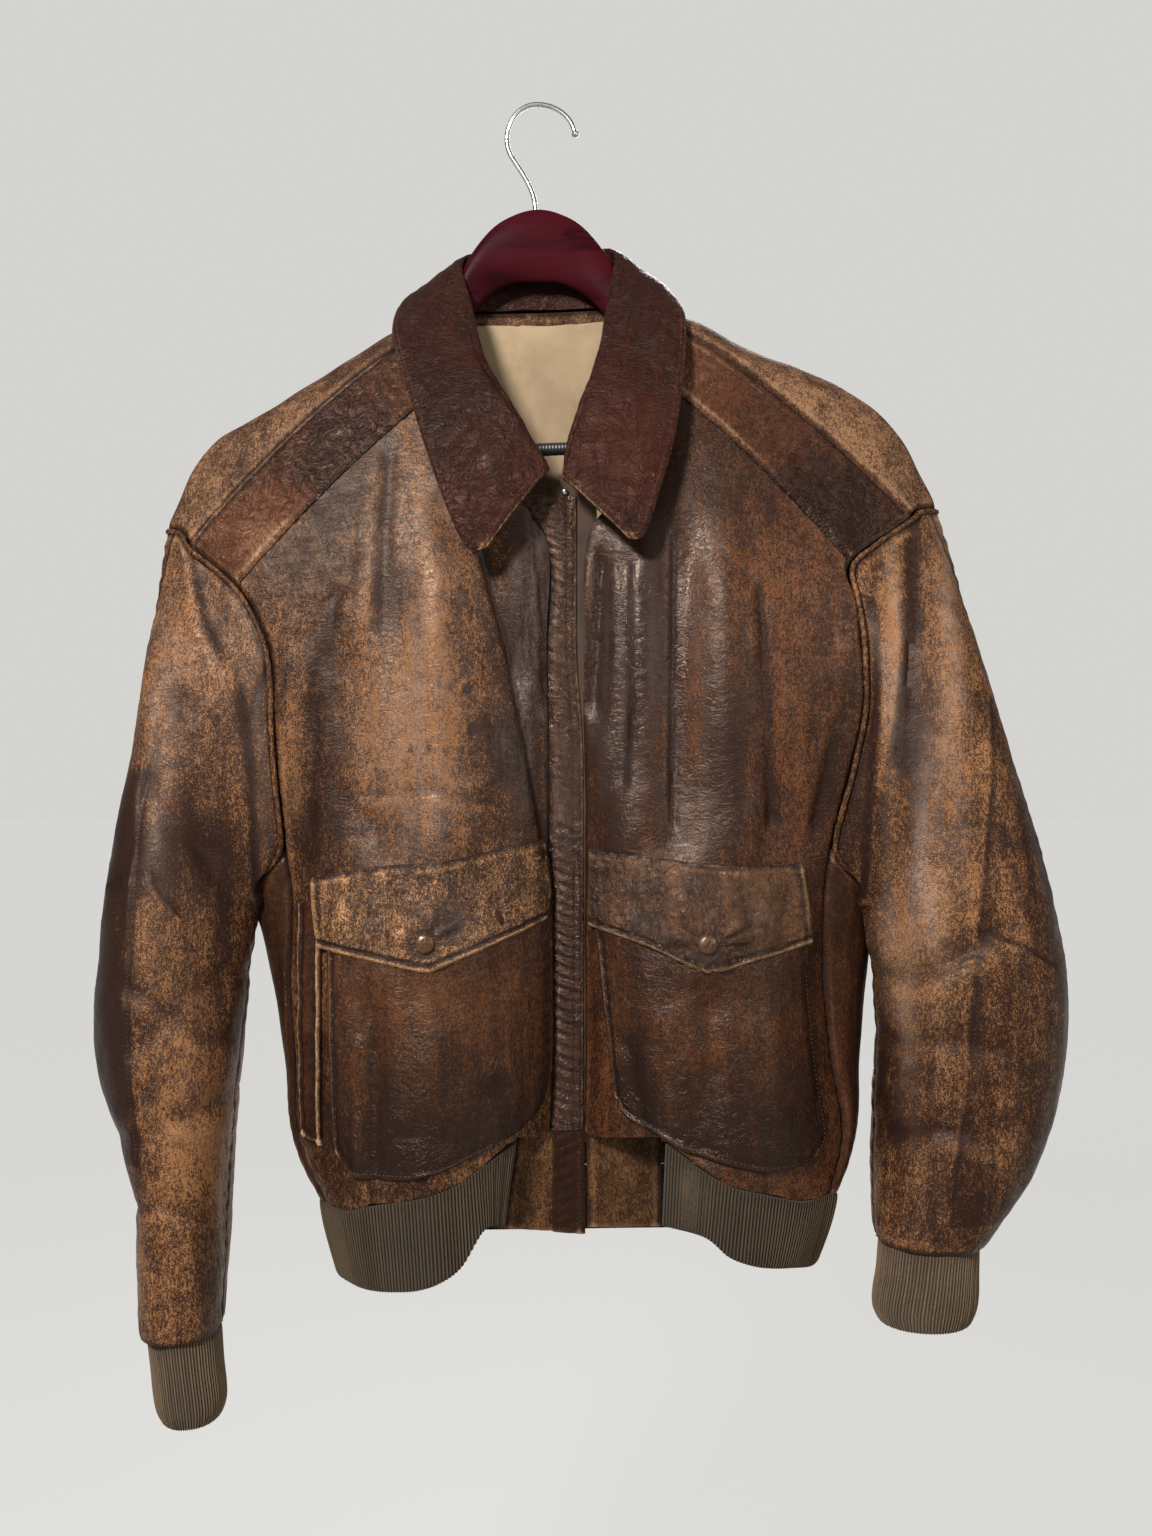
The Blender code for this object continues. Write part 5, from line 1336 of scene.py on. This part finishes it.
LAID_FINISH = {
    "pocket_left": POCKET_FINISH,
    "pocket_right": POCKET_FINISH,
    "welt_left": SIDE_FINISH,
    "flap_left": leather("flap_left", (0.3247, 0.1580, 0.0667), (0.0360, 0.0132, 0.0060), 0.9,
                         (0.20, 0.38), 0.5,
                         wrinkle=1.6, gloss=0.28, crinkle=0.6, painted_sheen=0.1),
    "flap_right": leather("flap_right", (0.0953, 0.0415, 0.0157), (0.0096, 0.0036, 0.0024), 0.6,
                          (0.13, 0.26), 0.3,
                          wrinkle=2.0, gloss=0.45, crinkle=1.3, painted_sheen=0),
}
TAB_FINISH = leather("tab", (0.120, 0.058, 0.022), (0.026, 0.010, 0.004), 0.7, (0.34, 0.54), 0.4,
                     crinkle=0.5, painted_sheen=0)
CAP_FINISH = leather("cap", (0.090, 0.040, 0.017), (0.020, 0.008, 0.004), 0.5, (0.14, 0.24),
                     wrinkle=0.2, gloss=0.6, painted_sheen=0)
KNIT_FINISH = knit("wool_rib", (0.056, 0.037, 0.020), (0.012, 0.008, 0.004))
CUFF_FINISH = knit("wool_cuff", (0.100, 0.067, 0.039), (0.030, 0.019, 0.011))
LINING_FINISH = woven("cotton_lining", (0.25, 0.175, 0.10), (0.17, 0.115, 0.062))
TAPE_FINISH = woven("zip_tape", (0.05, 0.025, 0.013), (0.02, 0.010, 0.006))
THREAD_FINISH = plain("thread", (0.045, 0.022, 0.012), 0.8)
STEEL_FINISH = plain("hook_steel", (0.50, 0.50, 0.51), 0.24, 1.0, 0.06)
METAL_FINISH = plain("eyelet_metal", (0.03, 0.028, 0.026), 0.4, 1.0)
RUBBER_FINISH = plain("bar_rubber", (0.012, 0.012, 0.013), 0.45)
KEPT = {"collar_stud": STEEL_FINISH, "eyelet_left": METAL_FINISH, "eyelet_right": METAL_FINISH,
        "zip_tape": TAPE_FINISH}


def smooth_line(points, count):
    """Points evenly spaced along a smooth line through these."""
    points = np.asarray(points, float)
    if len(points) == 2:
        return points[0] + (points[1] - points[0]) * np.linspace(0, 1, count)[:, None]
    fine = weights(len(points), 12, False) @ points
    run = np.concatenate([[0], np.cumsum(np.linalg.norm(np.diff(fine, axis=0), axis=1))])
    places = np.linspace(0, run[-1], count)
    return np.stack([np.interp(places, run, fine[:, k]) for k in range(2)], axis=-1)


def patch(outline, corners, rows, columns):
    """A grid in x and z filling a pattern outline; corners are its upper left, upper right, lower
    right and lower left points."""
    a, b, c, d = corners
    ring = list(outline)

    def side(start, end):
        return ring[start:end + 1] if end > start else ring[start:] + ring[:end + 1]

    top = smooth_line(side(a, b), columns)
    right = smooth_line(side(b, c), rows)
    bottom = smooth_line(side(c, d), columns)[::-1]
    left = smooth_line(side(d, a), rows)[::-1]
    u = np.linspace(0, 1, columns)[None, :, None]
    v = np.linspace(0, 1, rows)[:, None, None]
    flat = (1 - v) * top[None] + v * bottom[None] + (1 - u) * left[:, None] + u * right[:, None]
    flat -= ((1 - u) * (1 - v) * top[0] + u * (1 - v) * top[-1]
             + (1 - u) * v * bottom[0] + u * v * bottom[-1])
    return flat


FAR_FRONT, FRONT_Y = -300, -90     # in front of the jacket, and about where its front lies


class Surface:
    """The outer side of a panel, as something to lay other pieces on."""

    def __init__(self, panel, lift):
        points = panel.outer(lift)
        rows, columns = points.shape[:2]
        index = np.arange(rows * columns).reshape(rows, columns)
        self.tree = BVHTree.FromPolygons(points.reshape(-1, 3).tolist(), quads_of(index).tolist())

    def at(self, x, z):
        hit = self.tree.ray_cast((x, FAR_FRONT, z), (0, 1, 0))[0]
        return hit if hit is not None else self.tree.find_nearest((x, FRONT_Y, z))[0]

    def lay(self, flat):
        """Points on the surface over this grid of x and z."""
        return np.array([[self.at(x, z) for x, z in row] for row in flat])

    def line(self, flat):
        """Points on the surface along this line of x and z, and the way that they face."""
        return np.array([self.at(x, z) for x, z in flat]), np.tile((0.0, -1.0, 0.0), (len(flat), 1))


def drawn_seam(panel, path, rear_dark=0.0, to_right=1):
    """A stitched seam along a line of x and z on a panel that is already made: a groove with a row of
    stitches on each side; the piece beyond it can be darker."""
    # The groove, with painted shade along it.
    add_fold(panel, path, 1.5, 1.2, 0.5, 0.5, 9)
    fine = smooth_line(path, 120)
    way = np.gradient(fine, axis=0)
    way /= np.linalg.norm(way, axis=1, keepdims=True)
    aside = np.stack([-way[:, 1], way[:, 0]], axis=-1)
    beyond = np.interp(panel.z, fine[::-1, 1], fine[::-1, 0])
    inside = (panel.z < fine[0, 1]) & (panel.z > fine[-1, 1])
    if rear_dark:
        panel.tone += rear_dark * np.clip((panel.x - beyond) * to_right / 2, 0, 1) * inside
    ground = Surface(panel, LEATHER)
    for shift in (-SEAM_STITCH / 2, SEAM_STITCH / 2):
        stitches.add(*ground.line(fine + aside * shift))


def dress(made, nodes=()):
    """Rides on the root, and stands for its solids, which it hides."""
    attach(made, "root")
    if nodes:
        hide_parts(*nodes)


def clothe(node_name, panel, lift, finish, wall=LEATHER):
    """A panel's shell, named after the solid that it stands for."""
    dress(skin("cloth_" + node_name, panel, lift, wall, finish), [node_name])


def sew(panel, *rows):
    """Seams: edge, depth, pucker, its pitch and reach, seed."""
    for row in rows:
        add_seam(panel, *row)


def stitch(panel, edges, distance, lift=LEATHER):
    for edge in edges:
        stitches.add(*edge_line(panel, edge, distance, lift))


def knit_ribs(panel, wave, relief):
    """Upright ribs, flatter at the seam, with painted shade in their furrows and at the top under the
    leather.
    """
    panel.relief += relief * wave * (1 - 0.6 * bump(panel.top, 2.0))
    # Painted shade in the furrows, and at the top under the leather's edge.
    panel.tone += RIB_SHADE * wave + 0.3 * bump(panel.top, 5)
    add_edge(panel, "bottom", 1.0, 0.2)


def near_hem(points):
    """How much of a change at its lower edge each point of a panel takes."""
    near = np.clip(1 - (points[..., 2] - points[-1, :, 2]) / HEM_REACH, 0, 1)
    return near**2 * (3 - 2 * near)


def level_hem(points, side):
    """Draws a front's lower edge on the line that it hangs to."""
    edge = points[-1].copy()
    share = np.linspace(0, 1, len(edge))
    shift = (height_on(HEM_LINE[side], edge) - edge[:, 2]) * np.clip(share / HEM_SIDE_SHARE, 0, 1) ** 1.5
    shift *= np.clip((1 - share) / HEM_FRONT_SHARE, 0, 1)
    points[..., 2] += shift * near_hem(points)


def level_back(points):
    """Lifts the back's lower edge out of sight behind the tabs."""
    share = np.linspace(-1, 1, points.shape[1])
    points[..., 2] += BACK_LIFT * (1 - share**4) * near_hem(points)


# The pieces. First the solids' grids, with their hems where the photo has them.
sheets = make_torso()
for side in ("left", "right"):
    level_hem(sheets["front_" + side], side)
level_back(sheets["back"])
add_placket(sheets)
stitches = Stitches()
LEVELS = between(FRONT_LEVELS, FINE)
panels = {}

# Fronts: the armhole and side seam is the first edge, the centre front the last.
for side, table, seed in (("left", FRONT_LEFT, 3), ("right", FRONT_RIGHT, 4)):
    points = grid(lambda t, s, table=table: front_point(table, t, s), LEVELS, even(FRONT_FINE))
    level_hem(points, side)
    panel = panels["front_" + side] = Panel(points, (0, -1, 0))
    add_troughs(panel, CREASES_FRONT[side])
    panel.relief += 0.55 * ripple(panel.points, 38, seed, (1, 1, 0.55))
    panel.relief += 0.18 * ripple(panel.points, 13, seed + 2, (1, 1, 0.7))
    sew(panel, ("first", 1.1, 0.7, 12, 12, 1), ("last", 0.8, 0.6, 10, 9, 2))
    add_edge(panel, "bottom", 0.6, 0.2)
    add_spots(panel, SPOTS_FRONT[side])
    for fold in FOLDS_FRONT[side]:
        add_fold(panel, *fold)
    clothe("front_" + side, panel, 0, FRONT_FINISH[side])
    stitch(panel, ("first",), SEAM_STITCH)

# Sides.
back_points = grid(back_point, between(BACK_LEVELS, FINE), even(BACK_FINE))
level_back(back_points)
back = Panel(back_points, (0, 1, 0))
for side, table, edge, out in (("left", SIDE_LEFT, 0, -1), ("right", SIDE_RIGHT, -1, 1)):
    front_edge = panels["front_" + side].points[UNDERARM * FINE:, 0]
    rear_edge = back_points[4 * FINE:, edge]
    rows = LOWER_ROWS * FINE
    outline = [spline(table, 5 * i / rows) for i in range(rows + 1)]
    points = np.array([[arch(a, o, b, s) for s in even(SIDE_FINE)]
                       for a, o, b in zip(front_edge, outline, rear_edge)])
    panel = Panel(points, (out, 0, 0))
    panel.relief += 0.6 * ripple(points, 30, 8, (1, 1, 0.6))
    sew(panel, ("first", 1.1, 0.7, 11, 9, 3), ("last", 1.0, 0.6, 12, 9, 4), ("top", 0.8, 0.5, 11, 8, 5))
    add_edge(panel, "bottom", 0.6, 0.2)
    clothe("side_" + side, panel, 0, SIDE_FINISH)

# Back and yoke.
back.relief += 0.9 * ripple(back.points, 70, 11, (1, 1, 0.5)) + 0.25 * ripple(back.points, 16, 12)
add_troughs(back, CREASES_BACK, 1)
add_spots(back, SPOTS_BACK)
sew(back, ("first", 1.1, 0.6, 12, 10, 6), ("last", 1.1, 0.6, 12, 10, 6), ("top", 1.0, 0.5, 13, 9, 7))
add_edge(back, "bottom", 0.6, 0.2)
clothe("back", back, 0, BACK_FINISH)
stitch(back, ("top",), SEAM_STITCH)

coarse = sheets["yoke"]
seams = refine(coarse[[0, YOKE_ROWS.index(0.5), -1]], 1, YOKE_FINE)
points = np.array([[over_ridge(a, r, b, v) for a, r, b in zip(*seams)] for v in even(YOKE_DOWN)])
yoke = Panel(points, (0, 1, 1))
yoke.relief += 0.4 * ripple(points, 30, 14)
sew(yoke, ("top", 1.0, 0.6, 10, 8, 8), ("bottom", 0.9, 0.5, 13, 8, 9), ("first", 1.0, 0.4, 11, 8, 10),
    ("last", 1.0, 0.4, 11, 8, 10))
add_spots(yoke, SPOTS_YOKE)
clothe("yoke", yoke, 0, YOKE_FINISH)
stitch(yoke, ("bottom",), SEAM_STITCH)

# Epaulets: the strips sewn over the top of each front.
for side in ("left", "right"):
    source = panels["front_" + side]
    panel = source.part(slice(1, 2 * FINE + 1), slice(1, -1))
    panel.tone[:] = 0
    panel.wear[:] = 0
    panel.relief = panel.relief * 0.5 + 0.5 * ripple(panel.points, 20, 15)
    gather = np.sin(2 * math.pi * panel.first / GATHER_PITCH + 2.2 * np.sin(panel.first / 19) + panel.top / 5)
    panel.relief += 0.55 * gather * (0.6 + 0.4 * ripple(panel.points, 30, 16))
    # Painted light and shade of the gathers: lighter on their crests, darker in their hollows.
    panel.tone -= 0.12 * gather
    sew(panel, ("top", 0.7, 0.8, 7.5, 7, 11), ("bottom", 0.7, 0.8, 7.5, 7, 11))
    add_edge(panel, "first", 0.6, 0.3)
    add_spots(panel, SPOTS_EPAULET)
    clothe("epaulet_" + side, panel, POCKET_OUT, EPAULET_FINISH)
    stitch(panel, ("bottom", "top"), STRIP_STITCH, POCKET_OUT + LEATHER)
    if side == "right":
        ground = Surface(panel, POCKET_OUT + LEATHER)
        for path in CROSS_STITCHES:
            stitches.add(*ground.line(smooth_line(path, 40)), radius=0.45)

# Pockets, flaps and welt.
LAID = (
    ("pocket_left", "left", POCKET_LEFT, (0, 1, 5, 10), 0, "pocket_leather"),
    ("pocket_right", "right", POCKET_RIGHT, (0, 1, 6, 13), 0, "pocket_leather"),
    ("welt_left", "left", WELT_LEFT, (0, 1, 3, 4), 0, "side_leather"),
    ("flap_left", "left", FLAP_LEFT, (0, 3, 6, 11), 1, "flap_leather"),
    ("flap_right", "right", FLAP_RIGHT, (0, 3, 5, 10), 1, "flap_leather"),
)
laid = {}
for name, side, outline, corners, layer, slot in LAID:
    ground = Surface(panels["front_" + side], LEATHER)
    flat = patch(outline, corners, LAID_ROWS, LAID_COLUMNS)
    panel = Panel(ground.lay(flat), (0, -1, 0))
    laid[name] = panel
    high = name.startswith("flap")
    lift = SEAM_GAP + (POCKET_OUT if layer else 0)
    panel.relief += 0.45 * ripple(panel.points, 30, len(name)) + 0.15 * ripple(panel.points, 11, 3)
    for edge in ("first", "last", "bottom"):
        away = along_edge(panel, edge)[0]
        panel.relief += 0.7 * bump(away - 2.0, 1.3) - 0.9 * bump(away - 4.6, 1.2) - 0.8 * bump(away, 1.0)
        panel.relief += 0.8 * (1 - np.exp(-away / 14))
        panel.relief += 0.35 * np.sin(along_edge(panel, edge)[1] / 1.5) * bump(away - 7, 5)
        # Painted shade in the groove inside each edge.
        panel.tone += 0.7 * bump(away - 4.8, 1.5)
        panel.wear += 0.6 * bump(away - 1.6, 1.6)
        if name != "welt_left":
            stitch(panel, (edge,), EDGE_STITCH, lift + LEATHER)
    if high:
        x, z = CAPS[side]
        away, turn = np.hypot(panel.x - x, panel.z - z), np.arctan2(panel.z - z, panel.x - x)
        pulled = 0.8 if side == "left" else 1.8
        panel.relief += pulled * np.sin(11 * turn + 1.5 * np.sin(3 * turn)) * bump(away - 17, 9)
        panel.relief += 3.6 * np.exp(-((panel.x - x) / 26) ** 2 - ((panel.z - z - 10) / 15) ** 2)
        panel.relief -= 1.6 * bump(away, 9)
        # Painted shadow of the cap: a darker ring just round it.
        panel.tone += 0.25 * bump(away - 8, 3)
        add_seam(panel, "top", 0.9, 0.5, 9, 7, 3)
        stitch(panel, ("top",), STRIP_STITCH, lift + LEATHER)
    add_troughs(panel, CREASES_LAID.get(name, ()))
    add_spots(panel, SPOTS_LAID.get(name, ()))
    clothe(name, panel, lift, LAID_FINISH[name])

# Centre front.
placket = Panel(refine(sheets["placket"], 3 * FINE, 8), (0, -1, 0))
placket.relief += 0.2 * ripple(placket.points, 14, 31)
along = placket.top
pull = np.sin(2 * math.pi * along / PUCKER_PITCH + 1.5 * np.sin(along / 23))
pull *= 0.6 + 0.4 * np.sin(along / 41)
placket.relief += 1.0 * pull * np.exp(-((placket.last - 11) / 8) ** 2)
placket.relief -= 0.8 * bump(placket.last - PLACKET_STITCH, 1.2)
# Painted light and shade of the puckers: lighter on their crests, darker in their troughs.
placket.tone -= 0.2 * pull
placket.shine += 0.4 + 0.4 * pull
add_edge(placket, "last", 0.8, 0.5)
add_seam(placket, "first", 0.7, 0.2, 8, 5, 12)
clothe("placket", placket, 0, PLACKET_FINISH)
stitch(placket, ("last",), PLACKET_STITCH)

# Sleeves.
for side, table in (("left", SLEEVE_LEFT), ("right", SLEEVE_RIGHT)):
    loop, places = closed_ring_loop(sheets, side)
    points = sleeve_grid(loop, places, table, SLEEVE_RINGS)
    whole = Panel(refine(points, SLEEVE_FINE, RING_FINE, closed=True), closed=True, outward=True)
    whole.relief += 0.9 * ripple(whole.points, 55, 41, (1, 1, 0.6))
    whole.relief += 0.3 * ripple(whole.points, 17, 42, (1, 1, 0.8))
    add_troughs(whole, CREASES_SLEEVE[side])
    add_troughs(whole, CREASES_SLEEVE[side + "_rear"], 1)
    add_spots(whole, SPOTS_SLEEVE[side])
    for fold in FOLDS_SLEEVE[side]:
        add_fold(whole, *fold)
    inside = int(np.argmin(np.abs(np.array(places) - 0.5))) * RING_FINE
    column = np.arange(whole.points.shape[1])[None, :]
    fold = np.exp(-((column - inside + 1.5 * RING_FINE) / (3.5 * RING_FINE)) ** 2)
    whole.relief += ARMPIT_FULL * fold * np.exp(-(whole.top / 75) ** 2) * (1 - np.exp(-whole.top / 7))
    closes = np.exp(-((column - inside + 1.2 * RING_FINE) / (3.5 * RING_FINE)) ** 2)
    closes = closes * np.exp(-((whole.top - 18) / 60) ** 2)
    whole.points[..., 0] += (1 if side == "left" else -1) * CLOSE_ARMPIT * closes
    whole.points[..., 1] -= 0.6 * CLOSE_ARMPIT * closes
    seam = FRONT_SEAM * RING_FINE
    elbow = ELBOW_RING * SLEEVE_FINE
    rear = [*range(inside, whole.points.shape[1] - 1), *range(seam + 1)]
    for name, rows, columns in (("front", slice(None), slice(seam, inside + 1)),
                                ("rear_upper", slice(None, elbow + 1), rear),
                                ("rear_lower", slice(elbow, None), rear)):
        panel = whole.part(rows, columns)
        for edge in ("first", "last"):
            add_seam(panel, edge, 1.1, 0.7, 12, 11, 13)
            stitch(panel, (edge,), SEAM_STITCH)
        sew(panel, *SLEEVE_ENDS[name])
        if name == "front":
            for path, dark, edge_way in SEAMS_SLEEVE[side]:
                drawn_seam(panel, path, dark, edge_way)
        clothe(f"sleeve_{side}_{name}", panel, 0, SLEEVE_FINISH)
    head = whole.points[0, :-1] + whole.normals[0, :-1] * (LEATHER - 0.9)
    dress(welt("armhole_seam_" + side, head, 1.9, SLEEVE_FINISH))

# Collar.
collar = Panel(refine(collar_grid(sheets), 8, 8), (0, 0, 1))
if collar.normals[-20, 40] @ np.array([0, -1, 0]) < 0:
    collar.normals *= -1
collar.relief += 0.7 * ripple(collar.points, 26, 51) + 0.25 * ripple(collar.points, 9, 52)
rims = ("bottom", "first", "last")
for edge, seed in zip(rims, (19, 20, 20)):
    add_seam(collar, edge, 0.8, 0.35, 8, 6, seed)
for edge in rims:
    collar.wear += 0.55 * bump(along_edge(collar, edge)[0] - 0.8, 1.1)
add_spots(collar, SPOTS_COLLAR)
clothe("collar", collar, -COLLAR_WALL / 2, COLLAR_FINISH, COLLAR_WALL)
stitch(collar, rims, COLLAR_STITCH, COLLAR_WALL / 2)

# Knit waistband and cuffs.
rib = Panel(refine(rib_grid(sheets), 6, 30), outward=True)
rib.relief += 0.5 * ripple(rib.points, 40, 61, (1, 1, 0.4))
knit_ribs(rib, np.sin(2 * math.pi * rib.first[0] / RIB_PITCH), RIB_RELIEF)
dress(skin("knit_waistband", rib, -0.4, KNIT, KNIT_FINISH), ["hem_rib"])
for side, table in (("left", CUFF_LEFT), ("right", CUFF_RIGHT)):
    cuff = Panel(refine(tube_grid(table, CUFF_SIDES, CUFF_RINGS), 6, 16, closed=True), closed=True,
                 outward=True)
    around = np.linspace(0, 1, cuff.points.shape[1])
    cuff.relief -= CUFF_DRAWN
    knit_ribs(cuff, np.sin(2 * math.pi * round(cuff.first[0, -1] / RIB_PITCH) * around), CUFF_RELIEF)
    dress(skin("knit_cuff_" + side, cuff, -KNIT, KNIT, CUFF_FINISH), ["cuff_" + side])

# Hanger.
arms = {}
last = len(RIDGE) - 1
levels = (TIP_LEVEL, 1.3, 2.1, 3, 3.7)
for side, levels in (("left", levels), ("right", [last - level for level in levels[::-1]])):
    rows = []
    for level in levels:
        x, y, z = spline(RIDGE, level)
        share = min(level, last - level) / 4
        rows.append((x, y + ARM_BACK * (1 - share) + ARM_FORWARD * share,
                     z - ARM_CLEARANCE - TIP_DROP * max(0.0, 1 - 3 * share),
                     ARM_TIP_HEIGHT + (ARM_HEIGHT - ARM_TIP_HEIGHT) * share, ARM_THICKNESS))
    arms[side] = rows
tips = []
for (x, y, top, height, thickness), out in ((arms["left"][0], -1), (arms["right"][-1], 1)):
    tips.append((x + out * 5, y, top - 5, height - 8, thickness * 0.55))
stations = np.array([tips[0], *arms["left"], *WOOD_CENTRE, *arms["right"], tips[1]])
angles = 2 * math.pi * np.arange(WOOD_SIDES) / WOOD_SIDES
cosine, sine = [np.sign(f) * np.abs(f) ** WOOD_SQUARENESS for f in (np.cos(angles), np.sin(angles))]
rings = [np.stack([0 * angles + x, y + cosine * wide / 2, top - tall / 2 + sine * tall / 2], axis=-1)
         for x, y, top, tall, wide in weights(len(stations), 8, False) @ stations]
dress(solid("wood_body", rings, timber("mahogany")), ["hanger_wood"])
ends = [np.array([x, y, top - tall * BAR_DOWN]) for x, y, top, tall,
        _ in (arms["left"][1], arms["right"][-2])]
count = int(np.linalg.norm(ends[1] - ends[0]) / BAR_STEP)
path = np.array([ends[0] + (ends[1] - ends[0]) * i / count for i in range(count + 1)])
radii = BAR_RADIUS - BAR_GROOVE * (np.arange(count + 1) // 2 % 2)
dress(bar("trouser_bar", path, radii, RUBBER_FINISH), ["hanger_bar"])

wire = HOOK_WIRE / 2
path = []
for degrees in HOOK_ANGLES:
    angle = math.radians(degrees)
    reach = HOOK_OPEN_REACH if math.cos(angle) > 0 else HOOK_STEM_REACH
    path.append((reach * math.cos(angle), 0, -HOOK_RADIUS + wire + HOOK_RADIUS * math.sin(angle)))
bend = path[-1]
for v in (0.25, 0.5, 0.75, 1.0):
    ease = math.sin(v * math.pi / 2)
    path.append((bend[0] + (HOOK_STEM_X - bend[0]) * ease, 0, bend[2] + (WOOD_TOP - HOOK_SINK - bend[2]) * v))
path = weights(len(path), 8, False) @ np.array(path)
ball = path[0] + np.array(HOOK_BALL)
start = [ball + (path[0] - ball) * v for v, _ in HOOK_TIP]
radii = [radius for _, radius in HOOK_TIP] + [wire] * len(path)
dress(bar("hook", np.array([*start, *path]), radii, STEEL_FINISH), ["hanger_hook"])

# Covered snap caps.
for side, (x, z) in CAPS.items():
    panel = laid["flap_" + side]
    spot = np.unravel_index(np.argmin((panel.x - x) ** 2 + (panel.z - z) ** 2), panel.x.shape)
    up = panel.normals[spot]
    across = np.cross(up, (1, 0, 0))
    across /= np.linalg.norm(across)
    centre = panel.outer(FLAP_OUT)[spot] + up * CAP_OUT
    rings = [ring_of(centre + up * height, across, np.cross(up, across), radius, CAP_SIDES)
             for radius, height in CAP_PROFILE]
    dress(solid("cap_" + side, rings, CAP_FINISH), ["snap_" + side])

# Tabs beside the placket's lower end, and the placket's own tail on the left one.
for side, corners in (("left", TAB_LEFT), ("right", TAB_RIGHT)):
    (a, b), (c, d) = [[np.array(corner, float) for corner in row] for row in corners]
    points = np.array([[(a + (b - a) * s) * (1 - t) + (c + (d - c) * s) * t for s in even(TAB_COLUMNS)]
                       for t in even(TAB_ROWS)])
    panel = Panel(points, (0, -1, 0))
    panel.relief += 0.45 * ripple(points, 17, 71) + 0.2 * ripple(points, 7, 72)
    if side == "left":
        strip = np.clip((panel.x - PLACKET_TAIL_X) / 1.6, 0, 1)
        panel.relief += 1.3 * strip - 0.7 * bump(panel.x - 10.5, 1.2)
        pucker = np.sin(panel.top * 2 * math.pi / 8 + panel.x / 4)
        panel.relief += 0.5 * strip * pucker * bump(panel.x - 20, 7)
        panel.tone += 0.55 * strip
        panel.shine += 0.6 * strip
    sew(panel, ("first", 0.8, 0.3, 8, 5, 21), ("last", 0.8, 0.3, 8, 5, 22))
    add_edge(panel, "bottom", 0.8, 0.5)
    clothe("tab_" + side, panel, 0, TAB_FINISH)
    stitch(panel, rims, EDGE_STITCH)

# Linings, with soft upright folds.
coarse = refine(sheets["back"][::2, 1:-1:2], 8, 14)
lining = Panel(coarse, (0, 1, 0))
lining.relief -= BACK_SLACK + 0.9 * ripple(lining.points, 30, 81,
                                           (1, 1, 0.25)) + 0.5 * ripple(lining.points, 12, 82)
dress(skin("cotton_back", lining, -LINING_GAP - LINING_WALL, LINING_WALL, LINING_FINISH),
      ["lining_back"])

neck = np.s_[YOKE_ROWS.index(0.5):, FRONT_COLUMNS:FRONT_COLUMNS + NECK_COLUMNS + 1]
panel = Panel(refine(sheets["yoke"][neck], 20, 20), (0, 1, 1))
panel.relief -= NECK_SLACK + 0.6 * ripple(panel.points, 24, 83, (1, 1, 0.3)) + 0.3 * ripple(panel.points,
                                                                                            9, 84)
across = panel.x + 17 + (panel.z + 143) * 0.19
panel.relief += 0.9 * bump(across, 1.2) - 0.5 * bump(across - 4, 3)
dress(skin("cotton_neck", panel, -LINING_GAP - LINING_WALL, LINING_WALL, LINING_FINISH),
      ["lining_neck"])

# What stays as it is in the solids, in a better material.
for name, finish in KEPT.items():
    for slot_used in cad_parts[name].material_slots:
        slot_used.link = "OBJECT"
        slot_used.material = finish

stitches.make("stitching", THREAD_FINISH)

# Stage, light and camera.
AMBIENT = 0.27            # the world's strength on the jacket, and to the camera
BACKDROP = 0.66
STUDIO_WHITE = (1.0, 0.99, 0.955, 1)
FLOOR_REACH, FLOOR_HEIGHT = 30, -1.5
FLOOR_GLOW = 0.625
SENSOR = 36


def area_light(name, place, aim, size, power):
    data = bpy.data.lights.new(name, "AREA")
    data.shape = "DISK"
    data.size = size
    data.energy = power
    made = placed(name, data)
    made.location = place
    made.rotation_mode = "QUATERNION"
    made.rotation_quaternion = (Vector(aim) - Vector(place)).to_track_quat("-Z", "Y")


floor_mesh = bpy.data.meshes.new("floor")
corners = [(x * FLOOR_REACH, y * FLOOR_REACH, FLOOR_HEIGHT) for x, y in ((-1, -1), (1, -1), (1, 1), (-1, 1))]
floor_mesh.from_pydata(corners, [], [(0, 1, 2, 3)])
floor = placed("floor", floor_mesh)
floor_material, _, floor_shader = new_material("pale_floor")
floor_shader.inputs["Base Color"].default_value = (0.1, 0.1, 0.097, 1)
floor_shader.inputs["Emission Color"].default_value = STUDIO_WHITE
floor_shader.inputs["Emission Strength"].default_value = FLOOR_GLOW
floor_shader.inputs["Roughness"].default_value = 0.9
floor_mesh.materials.append(floor_material)

world = bpy.data.worlds.new("studio")
bpy.context.scene.world = world
world.use_nodes = True
background = world.node_tree.nodes["Background"]
background.inputs["Color"].default_value = STUDIO_WHITE
seen = node(world.node_tree, "ShaderNodeLightPath")["Is Camera Ray"]
share = maths(world.node_tree, "MULTIPLY_ADD", seen, BACKDROP - AMBIENT, AMBIENT)
world.node_tree.links.new(share, background.inputs["Strength"])
area_light("key", (-0.75, -1.6, 0.65), (0, 0, -0.4), 0.4, 84)
area_light("fill", (1.4, -1.5, 0.2), (0, 0, -0.45), 0.7, 15)
area_light("rim_back", (0.4, 1.8, 0.6), (0, 0, -0.4), 1.2, 26)

camera_data = bpy.data.cameras.new("camera")
camera_data.sensor_width = SENSOR
camera_data.lens = SENSOR * VIEW_FOCAL / (2 * VIEW_CENTRE[1])
camera = placed("camera", camera_data)
camera.location = Vector((VIEW_X, -VIEW_DISTANCE, VIEW_Z)) * MM
camera.rotation_euler = (math.pi / 2, 0, 0)
bpy.context.scene.camera = camera

bpy.context.scene.view_settings.view_transform = "Standard"
bpy.context.view_layer.update()
